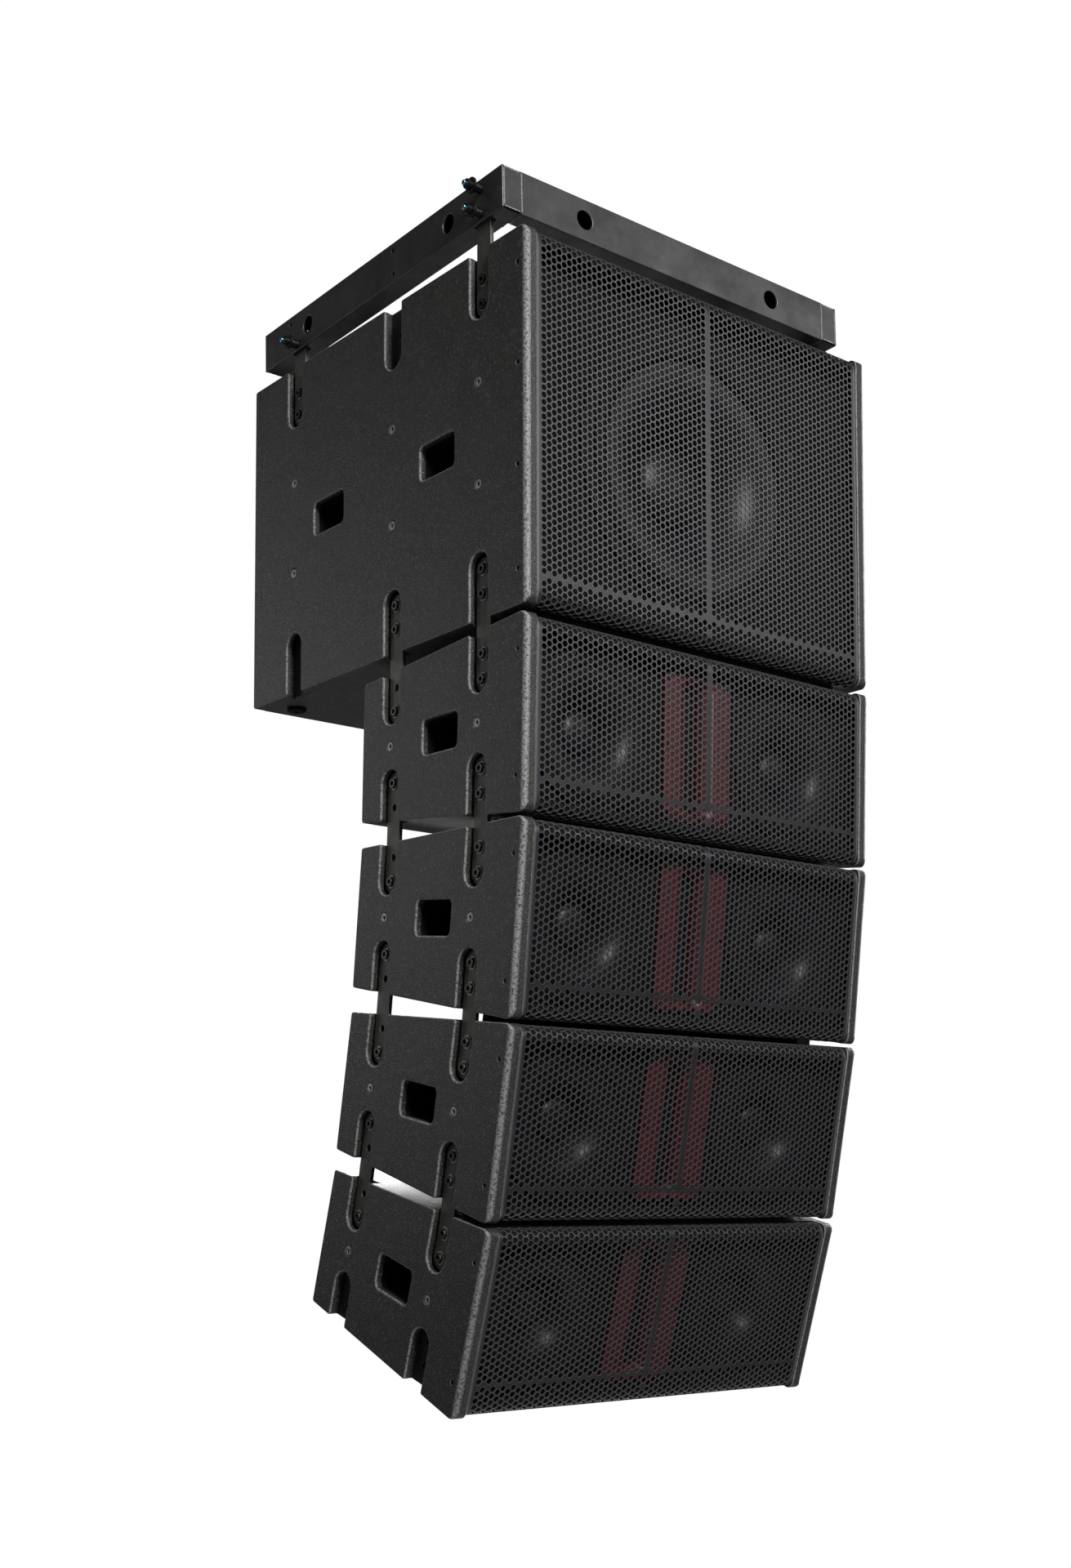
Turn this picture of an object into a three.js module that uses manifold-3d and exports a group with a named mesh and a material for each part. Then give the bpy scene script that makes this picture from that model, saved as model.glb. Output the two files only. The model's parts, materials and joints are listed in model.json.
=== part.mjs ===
// A flown line array: a welded fly frame, one deep subwoofer under it, and four wedge-shaped
// two-way elements hung below on steel link bars, each tilted further down than the one above.
// Millimetres. X runs along the fronts, +Y to the rear, +Z up. The origin is the middle of the
// fly frame's top face, the point the whole array hangs from.
import * as THREE from "three";
import { ConvexGeometry } from "three/addons/geometries/ConvexGeometry.js";
import { mergeVertices } from "three/addons/utils/BufferGeometryUtils.js";
import Module from "manifold-3d";

const wasm = await Module();
wasm.setup();

// ---------------------------------------------------------------- driving dimensions
const WIDTH = 600; // every cabinet
const WALL = 18; // plywood
const GAP = 0.3; // between pieces that touch
const PAST = 1; // how far a cut runs on past the face that it opens
const RECESS = 30; // how far the baffle sits behind the front edges of the side panels
const CHEEK_ROUND = 9; // rounding of the side panels' front edges
const FRONT_COLUMN = 100; // rigging columns, measured back from a cabinet's front
const REAR_COLUMN = 298;

const ELEMENT = { depth: 365, front: 248, rear: 187 };
const SUB = { depth: 668, front: 475, rear: 475 };
const SUB_REAR_COLUMN = 554;
const SUB_TILT = 1.5; // degrees, nose down, against the level fly frame
const SPLAY = [1.7, 4.8, 5.0, 6.2]; // degrees between each cabinet and the next one down

const SLOT_WIDTH = 39; // rigging slots in the side panels
const BAR_DEPTH = 8; // from the side panel's face to a bar's face
const CHANNEL_DEPTH = 14.2; // from the side panel's face to the floor of the bar's channel
const CHANNEL_EXTRA = 10; // how far the hidden channel runs on past a slot's round end
const CHANNEL_SPREAD = 4; // and past a slot's sides, where a bar swings as the splay changes
const WINDOW = { play: 3, margin: 2 }; // the pins' window: room beside a pin, and from its ends
const PIN_PITCH = 32;
const ELEMENT_FRONT_PIN = 56; // inner pin of a front slot, from the cabinet's mid-height
const ELEMENT_REAR_PIN = 48;
const ELEMENT_FRONT_TIP = 38; // round end of a front slot, from mid-height
const ELEMENT_REAR_TIP = 30;
const SUB_PIN_EDGE = 35; // outer pin of a subwoofer slot, from the cabinet's edge
const SUB_SLOT = 87; // length of a subwoofer slot
const FRONT_PIVOT_DROP = 67; // from the last pin of a front bar's upper end to the pin it turns on
const SUB_PIVOT_DROP = 41; // the same pin, below the subwoofer's bottom face

const BAR = { width: 30, thickness: 5 };
const PIN = { radius: 5, head: 9, headHeight: 4.5, reach: 9 };
const HOLE_PLAY = 0.6; // a plain hole's radius over its pin's

const HANDLE = { width: 78, height: 46, depth: 55, round: 8, wall: 5 };
const ELEMENT_HANDLES = [183];
const SUB_HANDLES = [193, 461];

const FRAME = { width: 594, depth: 594, height: 56, tube: 30, wall: 3 };
const SUB_FRONT_TO_FRAME = 51; // the subwoofer's front stands this far ahead of the frame
const FRAME_TO_SUB_TOP = 97.5; // from the frame's top face down to the subwoofer's front top edge
const SHACKLE_RADIUS = 12.5;
const SHACKLE_TUBE_X = 166;
const SHACKLE_RAIL_INSET = 120; // from the frame's front or back
const FRAME_PIN_HEIGHTS = { front: [49, 81], rear: [35] }; // above the subwoofer's top face
const FRAME_BAR_PLAY = 3; // around a bar that enters a rail
const BAR_END_BELOW_HOLE = 6; // centre of a frame bar's round top end, under its last hole
const QUICK_PIN = {
  shaft: 4.6,
  inside: 6, // of the shaft, past the rail's inner face
  collar: 6.5,
  collarLength: 12,
  disc: 10.5,
  discDepth: 4,
  body: 23, // out to the end of the pin's body
  tail: 27, // out to the end of its button
  boreDepth: 7,
  bore: 4.2,
  button: 3.5,
  buttonLength: 7,
};
const FOOT = { radius: 14, height: 6, x: 255, yFront: 46, yRear: 622 };

const WOOFER = { x: 172, ring: 104, hole: 93, depth: 95 };
const SUB_DRIVER = { x: 0, ring: 194, hole: 178, depth: 165 };
const DRIVER = { flange: 4, basketPlay: 3, cap: 0.3, magnet: 0.55 }; // the last two: share of the hole
const HORN = {
  width: 118,
  height: 196,
  flange: 5,
  throat: 80, // depth from the baffle to the driver
  body: { front: [46, 92], back: [20, 78] }, // half width and half height outside
  flare: { front: [35, 89], back: [6, 72] }, // and inside
  mouthWall: [11, 4],
  driverRadius: 40,
  driverLength: 54,
};
const GRILLE = { sheet: 1.6, front: 2, bend: 16, clear: 0.5 };
// The amplifier lies in a recess of the rear panel, with cooling fins outside and its box inside.
const AMP = {
  recess: 14,
  halfWidth: 150,
  halfHeight: 64,
  rim: 12,
  boxDepth: 60,
  boxPlay: 1,
  plate: 3,
  fins: 9,
  finPitch: 11,
  finStart: 14,
  finThickness: 3,
  finShort: 8,
};

const rad = THREE.MathUtils.degToRad;

// ---------------------------------------------------------------- solids
function solid(geometry) {
  const plain = geometry.clone();
  plain.deleteAttribute("normal");
  plain.deleteAttribute("uv");
  const merged = mergeVertices(plain, 1e-4);
  return new wasm.Manifold(
    new wasm.Mesh({
      numProp: 3,
      vertProperties: new Float32Array(merged.attributes.position.array),
      triVerts: new Uint32Array(merged.index.array),
    }),
  );
}

function geometryOf(body) {
  const mesh = body.getMesh();
  const geometry = new THREE.BufferGeometry();
  geometry.setAttribute("position", new THREE.BufferAttribute(mesh.vertProperties, 3));
  geometry.setIndex(new THREE.BufferAttribute(mesh.triVerts, 1));
  const flat = geometry.toNonIndexed();
  flat.computeVertexNormals();
  return flat;
}

// A box given by its low and high value along X, Y and Z.
function box([x0, x1], [y0, y1], [z0, z1]) {
  const g = new THREE.BoxGeometry(x1 - x0, y1 - y0, z1 - z0);
  g.translate((x0 + x1) / 2, (y0 + y1) / 2, (z0 + z1) / 2);
  return solid(g);
}

// A side-view outline of [y, z] points, drawn out along X.
function sideProfile(outline, [x0, x1]) {
  const shape = new THREE.Shape(outline.map(([y, z]) => new THREE.Vector2(y, z)));
  const g = new THREE.ExtrudeGeometry(shape, { depth: x1 - x0, bevelEnabled: false });
  const turn = new THREE.Matrix4().makeBasis(
    new THREE.Vector3(0, 1, 0),
    new THREE.Vector3(0, 0, 1),
    new THREE.Vector3(1, 0, 0),
  );
  g.applyMatrix4(turn);
  g.translate(x0, 0, 0);
  return solid(g);
}

function rodAlongX(radius, [x0, x1], y, z, sides) {
  const g = new THREE.CylinderGeometry(radius, radius, x1 - x0, sides);
  g.rotateZ(Math.PI / 2);
  g.translate((x0 + x1) / 2, y, z);
  return solid(g);
}

function rodAlongY(radius, x, [y0, y1], z, sides) {
  const g = new THREE.CylinderGeometry(radius, radius, y1 - y0, sides);
  g.translate(x, (y0 + y1) / 2, z);
  return solid(g);
}

function rodAlongZ(radius, x, y, [z0, z1], sides) {
  const g = new THREE.CylinderGeometry(radius, radius, z1 - z0, sides);
  g.rotateX(Math.PI / 2);
  g.translate(x, y, (z0 + z1) / 2);
  return solid(g);
}

// A rectangular funnel about the Y axis: half sizes [x, z] at its front and at its back.
function funnel([xf, zf], yFront, [xb, zb], yBack) {
  const corners = [];
  for (const sx of [-1, 1])
    for (const sz of [-1, 1]) {
      corners.push(new THREE.Vector3(sx * xf, yFront, sz * zf));
      corners.push(new THREE.Vector3(sx * xb, yBack, sz * zb));
    }
  return solid(new ConvexGeometry(corners));
}

// Points of an arc about (y, z), from one angle to another, in degrees.
function arc([y, z], radius, from, to, steps) {
  return Array.from({ length: steps + 1 }, (_, i) => {
    const a = rad(from + ((to - from) * i) / steps);
    return [y + radius * Math.cos(a), z + radius * Math.sin(a)];
  });
}

// A rectangle with round corners, centred on (y, z).
function roundRectangle(y, z, width, height, radius) {
  const w = width / 2 - radius;
  const h = height / 2 - radius;
  return [
    ...arc([y + w, z + h], radius, 0, 90, 2),
    ...arc([y - w, z + h], radius, 90, 180, 2),
    ...arc([y - w, z - h], radius, 180, 270, 2),
    ...arc([y + w, z - h], radius, 270, 360, 2),
  ];
}

function union(bodies) {
  return bodies.reduce((sum, body) => sum.add(body));
}

// ---------------------------------------------------------------- meshes
const PAINTED_WOOD = { color: 0x17181a, roughness: 0.75, metalness: 0.05 };
const STEEL = { color: 0x2a2b2b, roughness: 0.55, metalness: 0.6 };
const GRILLE_STEEL = { color: 0x202124, roughness: 0.5, metalness: 0.5 };
const PAPER_CONE = { color: 0x111112, roughness: 0.6, metalness: 0.0 };
const RED_PLASTIC = { color: 0x8a1f25, roughness: 0.5, metalness: 0.0 };
const ALUMINIUM = { color: 0x1c1d1f, roughness: 0.5, metalness: 0.6 };
const BRIGHT_STEEL = { color: 0x8d9196, roughness: 0.3, metalness: 1.0 };
const BLUE_BUTTON = { color: 0x6fa7c8, roughness: 0.35, metalness: 0.6 };

function addMesh(group, name, body, look) {
  const mesh = new THREE.Mesh(geometryOf(body), new THREE.MeshStandardMaterial(look));
  mesh.name = name;
  group.add(mesh);
}

const SIDES = [
  { name: "left", sign: -1 },
  { name: "right", sign: 1 },
];

// The span of X between two depths measured inwards from a side panel's outer face.
function depthSpan(sign, from, to, face = WIDTH / 2) {
  const a = sign * (face - from);
  const b = sign * (face - to);
  return a < b ? [a, b] : [b, a];
}

// ---------------------------------------------------------------- cabinets
// Half the cabinet's height at a distance back from its front.
function halfHeight(cabinet, y) {
  return (cabinet.front + ((cabinet.rear - cabinet.front) * y) / cabinet.depth) / 2;
}

function wedge(cabinet, inset, yFront, yBack, halfWidth) {
  const front = halfHeight(cabinet, yFront) - inset;
  const back = halfHeight(cabinet, yBack) - inset;
  const outline = [
    [yFront, -front],
    [yBack, -back],
    [yBack, back],
    [yFront, front],
  ];
  return sideProfile(outline, [-halfWidth, halfWidth]);
}

// A rigging slot: an opening with a round inner end in the panel's face, the deeper channel
// that a bar lies in behind it, and a window in the channel's floor for the pins.
function slotCut(cabinet, sign, column, up, tip) {
  const edge = up * (halfHeight(cabinet, 0) + PAST);
  const centre = up * (tip + SLOT_WIDTH / 2);
  const half = SLOT_WIDTH / 2;
  const from = up > 0 ? 180 : 0;
  const roundEnd = arc([column, centre], half, from, from + 180, 6);
  const outline = up > 0
    ? [...roundEnd, [column + half, edge], [column - half, edge]]
    : [...roundEnd, [column - half, edge], [column + half, edge]];
  const channelEnd = up * (tip - CHANNEL_EXTRA);
  const channel = [Math.min(edge, channelEnd), Math.max(edge, channelEnd)];
  const windowEnds = [
    up * (tip - CHANNEL_EXTRA + WINDOW.margin),
    up * (halfHeight(cabinet, column) - WALL - WINDOW.margin),
  ];
  const halfChannel = half + CHANNEL_SPREAD;
  const halfWindow = PIN.radius + WINDOW.play;
  return union([
    sideProfile(outline, depthSpan(sign, -PAST, BAR_DEPTH)),
    box(
      depthSpan(sign, BAR_DEPTH - GAP, CHANNEL_DEPTH),
      [column - halfChannel, column + halfChannel],
      channel,
    ),
    box(
      depthSpan(sign, CHANNEL_DEPTH - GAP, WALL + PAST),
      [column - halfWindow, column + halfWindow],
      [Math.min(...windowEnds), Math.max(...windowEnds)],
    ),
  ]);
}

function handleBox(sign, y) {
  const w = HANDLE.width / 2 + HANDLE.wall;
  const h = HANDLE.height / 2 + HANDLE.wall;
  return box(depthSpan(sign, WALL - PAST, HANDLE.depth + HANDLE.wall), [y - w, y + w], [-h, h]);
}

function handleCut(sign, y) {
  const outline = roundRectangle(y, 0, HANDLE.width, HANDLE.height, HANDLE.round);
  return sideProfile(outline, depthSpan(sign, -PAST, HANDLE.depth));
}

// What rounds off the outer front edge of one side panel.
function cheekRounding(sign) {
  const face = WIDTH / 2;
  const r = CHEEK_ROUND;
  const centre = new THREE.Vector2(sign * (face - r), r);
  const outside = sign * (face + PAST);
  const points = [new THREE.Vector2(outside, -PAST), new THREE.Vector2(outside, r)];
  for (const [across, back] of arc([0, 0], r, 0, 90, 3))
    points.push(new THREE.Vector2(centre.x + sign * across, centre.y - back));
  points.push(new THREE.Vector2(centre.x, -PAST));
  if (sign > 0) points.reverse();
  const height = SUB.front + 2 * PAST;
  const shape = new THREE.Shape(points);
  const g = new THREE.ExtrudeGeometry(shape, { depth: height, bevelEnabled: false });
  g.translate(0, 0, -height / 2);
  return solid(g);
}

function cabinetShell(cabinet, slots, handles, mouths) {
  const inner = WIDTH / 2 - WALL;
  let body = wedge(cabinet, 0, 0, cabinet.depth, WIDTH / 2);
  body = body.subtract(wedge(cabinet, -PAST, -PAST, RECESS, inner));
  body = body.subtract(wedge(cabinet, WALL, RECESS + WALL, cabinet.depth - WALL, inner));
  for (const mouth of mouths) body = body.subtract(mouth);
  for (const { sign } of SIDES) {
    for (const y of handles) body = body.add(handleBox(sign, y)).subtract(handleCut(sign, y));
    for (const { column, up, tip } of slots)
      body = body.subtract(slotCut(cabinet, sign, column, up, tip));
    body = body.subtract(cheekRounding(sign));
  }
  return body;
}

// The grille is one sheet that covers the front and folds back over the top and bottom edges.
function grille(cabinet) {
  const { sheet, front, bend, clear } = GRILLE;
  const back = RECESS - GAP;
  const drop = halfHeight(cabinet, 0) - halfHeight(cabinet, cabinet.depth);
  const slope = Math.atan2(drop, cabinet.depth);
  const half = (offset) => {
    const y = front + offset;
    const radius = bend - offset;
    const topAt = (at) => halfHeight(cabinet, at) - clear - offset / Math.cos(slope);
    const centreY = y + radius;
    const centreZ = topAt(centreY) - radius / Math.cos(slope);
    const turn = 90 - THREE.MathUtils.radToDeg(slope);
    return [[back, topAt(back)], ...arc([centreY, centreZ], radius, turn, 180, 4)];
  };
  const mirrored = (points) => points.map(([y, z]) => [y, -z]).reverse();
  const outer = [...half(0), ...mirrored(half(0))];
  const inner = [...half(sheet), ...mirrored(half(sheet))];
  const edge = WIDTH / 2 - WALL - GAP * 2;
  return sideProfile([...outer, ...inner.reverse()], [-edge, edge]);
}

// A loudspeaker driver about the Y axis: mounting ring, surround, cone, dust cap and magnet.
function driver({ x, ring, hole, depth }) {
  const face = RECESS - GAP;
  const front = face - DRIVER.flange;
  const basket = hole - DRIVER.basketPlay;
  const cap = hole * DRIVER.cap;
  const magnet = hole * DRIVER.magnet;
  const profile = [
    [0, face + depth * 0.22],
    [cap * 0.7, face + depth * 0.26],
    [cap, face + depth * 0.34],
    [basket * 0.88, front],
    [ring, front],
    [ring, face],
    [basket, face],
    [basket * 0.9, face + depth * 0.3],
    [magnet, face + depth * 0.62],
    [magnet, face + depth],
    [0, face + depth],
  ];
  const g = new THREE.LatheGeometry(profile.map(([r, y]) => new THREE.Vector2(r, y)), 16);
  g.translate(x, 0, 0);
  return solid(g);
}

function driverMouth({ x, hole }) {
  return rodAlongY(hole, x, [RECESS - PAST, RECESS + WALL + PAST], 0, 16);
}

// The horn: a flange on the baffle, a flared mouth that narrows to a slot, and its driver.
function horn() {
  const face = RECESS - GAP;
  const w = HORN.width / 2;
  const h = HORN.height / 2;
  const lip = face - HORN.flange;
  const throat = face + HORN.throat;
  const end = throat + HORN.flange;
  return union([
    box([-w, w], [lip, face], [-h, h]),
    funnel(HORN.body.front, face - PAST, HORN.body.back, end + PAST),
    rodAlongY(HORN.driverRadius, 0, [end, end + HORN.driverLength], 0, 10),
  ]).subtract(funnel(HORN.flare.front, lip - GAP, HORN.flare.back, throat));
}

function hornMouth() {
  const w = HORN.width / 2 - HORN.mouthWall[0];
  const h = HORN.height / 2 - HORN.mouthWall[1];
  return box([-w, w], [RECESS - PAST, RECESS + WALL + PAST], [-h, h]);
}

function ampPanel(cabinet) {
  const back = cabinet.depth;
  const floor = back - AMP.recess + GAP;
  const plate = [floor, floor + AMP.plate];
  const w = AMP.halfWidth - GAP * 2;
  const h = AMP.halfHeight - GAP * 2;
  const boxWidth = AMP.halfWidth - AMP.rim - AMP.boxPlay;
  const boxHeight = AMP.halfHeight - AMP.rim - AMP.boxPlay;
  const finHeight = h - AMP.finShort;
  const parts = [
    box([-w, w], plate, [-h, h]),
    box([-boxWidth, boxWidth], [floor - AMP.boxDepth, plate[1] - PAST], [-boxHeight, boxHeight]),
  ];
  for (let i = 0; i < AMP.fins; i += 1) {
    const x = -w + AMP.finStart + i * AMP.finPitch;
    parts.push(box([x, x + AMP.finThickness], [plate[1] - PAST, back - PAST], [-finHeight, finHeight]));
  }
  return union(parts);
}

function ampMouth(cabinet) {
  const back = cabinet.depth;
  const w = AMP.halfWidth;
  const h = AMP.halfHeight;
  const rim = AMP.rim;
  return union([
    box([-w, w], [back - AMP.recess, back + PAST], [-h, h]),
    box([-w + rim, w - rim], [back - WALL - PAST, back - PAST], [-h + rim, h - rim]),
  ]);
}

// ---------------------------------------------------------------- link bars
// The outline of a flat bar with round ends along a path of [y, z] points.
function barOutline(path) {
  const r = BAR.width / 2;
  const heading = ([ya, za], [yb, zb]) => THREE.MathUtils.radToDeg(Math.atan2(zb - za, yb - ya));
  const headings = path.slice(1).map((point, i) => heading(path[i], point));
  const bends = path.slice(1, -1).map((point, i) => ({
    point,
    heading: (headings[i] + headings[i + 1]) / 2,
  }));
  const beside = (bend, turn) => arc(bend.point, r, bend.heading + turn, bend.heading + turn, 1)[0];
  const last = headings.at(-1);
  return [
    ...arc(path[0], r, headings[0] + 90, headings[0] + 270, 4),
    ...bends.map((bend) => beside(bend, -90)),
    ...arc(path.at(-1), r, last - 90, last + 90, 4),
    ...bends.reverse().map((bend) => beside(bend, 90)),
  ];
}

// A flat link bar along a path, with pins through it and plain holes.
function linkBar(sign, path, pins, holes) {
  const face = BAR_DEPTH + GAP;
  const back = face + BAR.thickness;
  const through = depthSpan(sign, face - PAST, back + PAST);
  let bar = sideProfile(barOutline(path), depthSpan(sign, face, back));
  for (const [y, z] of holes) bar = bar.subtract(rodAlongX(PIN.radius + HOLE_PLAY, through, y, z, 8));
  for (const [y, z] of pins) {
    bar = bar.add(rodAlongX(PIN.head, depthSpan(sign, face - PIN.headHeight, face + PAST), y, z, 6));
    bar = bar.add(rodAlongX(PIN.radius, depthSpan(sign, face, back + PIN.reach), y, z, 6));
  }
  return bar;
}

// ---------------------------------------------------------------- fly frame
function flyFrame(barOpenings, pinPlaces) {
  const x = FRAME.width / 2;
  const y = FRAME.depth / 2;
  const t = FRAME.tube;
  const w = FRAME.wall;
  const deep = [-FRAME.height + w, -w];
  let body = box([-x, x], [-y, y], [-FRAME.height, 0]);
  const underside = [-FRAME.height - PAST, -FRAME.height + w + PAST];
  body = body.subtract(box([-x + t, x - t], [-y + t, y - t], [underside[0], PAST]));
  for (const sign of [-1, 1]) {
    const rail = depthSpan(sign, w, t - w, x);
    body = body.subtract(box(rail, [-y + w, y - w], deep));
    const cross = depthSpan(sign, w, t - w, y);
    body = body.subtract(box([-x + t + w, x - t - w], cross, deep));
    for (const along of [-1, 1]) {
      const tubeHole = rodAlongY(
        SHACKLE_RADIUS,
        along * SHACKLE_TUBE_X,
        depthSpan(sign, -PAST, t + PAST, y),
        -FRAME.height / 2,
        12,
      );
      const railHole = rodAlongX(
        SHACKLE_RADIUS,
        depthSpan(sign, -PAST, t + PAST, x),
        along * (y - SHACKLE_RAIL_INSET),
        -FRAME.height / 2,
        12,
      );
      body = body.subtract(tubeHole).subtract(railHole);
    }
    const half = BAR.width / 2 + FRAME_BAR_PLAY;
    const barBack = BAR_DEPTH + BAR.thickness + FRAME_BAR_PLAY;
    const barSpan = depthSpan(sign, BAR_DEPTH - FRAME_BAR_PLAY, barBack);
    for (const opening of barOpenings)
      body = body.subtract(box(barSpan, [opening - half, opening + half], underside));
    const across = depthSpan(sign, -PAST, t + PAST, x);
    for (const place of pinPlaces)
      body = body.subtract(rodAlongX(PIN.radius + HOLE_PLAY, across, ...place, 8));
  }
  return body;
}

// A quick-release pin through the frame's rail: shaft, collar, disc, and a bored end for its button.
function quickPin(sign, y, z) {
  const out = (from, to) => depthSpan(sign, -to, -from, FRAME.width / 2);
  const disc = QUICK_PIN.collarLength + GAP;
  const neck = disc + QUICK_PIN.discDepth;
  return union([
    rodAlongX(QUICK_PIN.shaft, out(-FRAME.tube - QUICK_PIN.inside, PAST), y, z, 8),
    rodAlongX(QUICK_PIN.collar, out(GAP, disc + GAP), y, z, 8),
    rodAlongX(QUICK_PIN.disc, out(disc, neck), y, z, 12),
    rodAlongX(QUICK_PIN.collar, out(neck - GAP, QUICK_PIN.body), y, z, 8),
  ]).subtract(rodAlongX(QUICK_PIN.bore, out(QUICK_PIN.body - QUICK_PIN.boreDepth, QUICK_PIN.tail), y, z, 8));
}

function quickPinButton(sign, y, z) {
  const inner = QUICK_PIN.buttonLength - QUICK_PIN.tail;
  const span = depthSpan(sign, -QUICK_PIN.tail, inner, FRAME.width / 2);
  return rodAlongX(QUICK_PIN.button, span, y, z, 8);
}

// ---------------------------------------------------------------- assembly
// A cabinet's group has its origin at the middle of its front, at mid-height.
function placed(parent, y, z, tilt) {
  const group = new THREE.Group();
  group.position.set(0, y, z);
  group.rotation.x = rad(tilt);
  parent.add(group);
  return group;
}

// Where a cabinet point [y, z] lies in the frame of whatever holds it.
function turned([y, z], tilt) {
  const c = Math.cos(rad(tilt));
  const s = Math.sin(rad(tilt));
  return [y * c - z * s, y * s + z * c];
}

const array = new THREE.Group();
const subHalf = SUB.front / 2;
const frontTop = turned([0, subHalf], SUB_TILT);
const subOrigin = [
  -FRAME.depth / 2 - SUB_FRONT_TO_FRAME - frontTop[0],
  -FRAME_TO_SUB_TOP - frontTop[1],
];
const subPoint = (point) => turned(point, SUB_TILT).map((value, i) => value + subOrigin[i]);

const framePins = [
  ...FRAME_PIN_HEIGHTS.front.map((up, i) => ({
    name: i ? "front_upper" : "front_lower",
    at: subPoint([FRONT_COLUMN, subHalf + up]),
  })),
  ...FRAME_PIN_HEIGHTS.rear.map((up) => ({ name: "rear", at: subPoint([SUB_REAR_COLUMN, subHalf + up]) })),
];

// The frame's lower face is level with this height above the subwoofer's top.
const frameUnderside = FRAME_TO_SUB_TOP - FRAME.height;
const barOpenings = [FRONT_COLUMN, SUB_REAR_COLUMN].map(
  (column) => subPoint([column, subHalf + frameUnderside])[0],
);
addMesh(array, "fly_frame", flyFrame(barOpenings, framePins.map((pin) => pin.at)), STEEL);
for (const side of SIDES)
  for (const { name, at } of framePins) {
    addMesh(array, `frame_pin_${name}_${side.name}`, quickPin(side.sign, ...at), BRIGHT_STEEL);
    addMesh(array, `pin_button_${name}_${side.name}`, quickPinButton(side.sign, ...at), BLUE_BUTTON);
  }

// Subwoofer
const sub = placed(array, ...subOrigin, SUB_TILT);
const subTip = subHalf - SUB_SLOT;
const subSlots = [FRONT_COLUMN, REAR_COLUMN, SUB_REAR_COLUMN].flatMap((column) =>
  [1, -1].map((up) => ({ column, up, tip: subTip })),
);
const footSpan = [-subHalf - FOOT.height, -subHalf + PAST];
let subShell = cabinetShell(SUB, subSlots, SUB_HANDLES, [driverMouth(SUB_DRIVER)]);
for (const { sign } of SIDES)
  for (const y of [FOOT.yFront, FOOT.yRear])
    subShell = subShell.add(rodAlongZ(FOOT.radius, sign * FOOT.x, y, footSpan, 10));
addMesh(sub, "sub_shell", subShell, PAINTED_WOOD);
addMesh(sub, "sub_grille", grille(SUB), GRILLE_STEEL);
addMesh(sub, "sub_driver", driver(SUB_DRIVER), PAPER_CONE);

const subPinZ = subHalf - SUB_PIN_EDGE;
for (const side of SIDES) {
  const frameBars = [
    ["front", FRONT_COLUMN, FRAME_PIN_HEIGHTS.front],
    ["rear", SUB_REAR_COLUMN, FRAME_PIN_HEIGHTS.rear],
  ];
  for (const [place, column, heights] of frameBars) {
    const pins = [subPinZ, subPinZ - PIN_PITCH].map((z) => [column, z]);
    const holes = heights.map((up) => [column, subHalf + up]);
    const bottomEnd = [column, subPinZ - PIN_PITCH];
    const topEnd = [column, subHalf + heights.at(-1) - BAR_END_BELOW_HOLE];
    const bar = linkBar(side.sign, [bottomEnd, topEnd], pins, holes);
    addMesh(sub, `frame_link_${place}_${side.name}`, bar, STEEL);
  }
}

// Elements, each hung in the frame of the cabinet above it
const elementSlots = [1, -1].flatMap((up) => [
  { column: FRONT_COLUMN, up, tip: ELEMENT_FRONT_TIP },
  { column: REAR_COLUMN, up, tip: ELEMENT_REAR_TIP },
]);
const wooferPair = SIDES.map(({ name, sign }) => ({ name, ...WOOFER, x: sign * WOOFER.x }));
const elementMouths = [...wooferPair.map(driverMouth), hornMouth(), ampMouth(ELEMENT)];
const pivotInElement = [FRONT_COLUMN, ELEMENT_FRONT_PIN + PIN_PITCH];
const lastPin = -ELEMENT_FRONT_PIN - PIN_PITCH;

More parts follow.
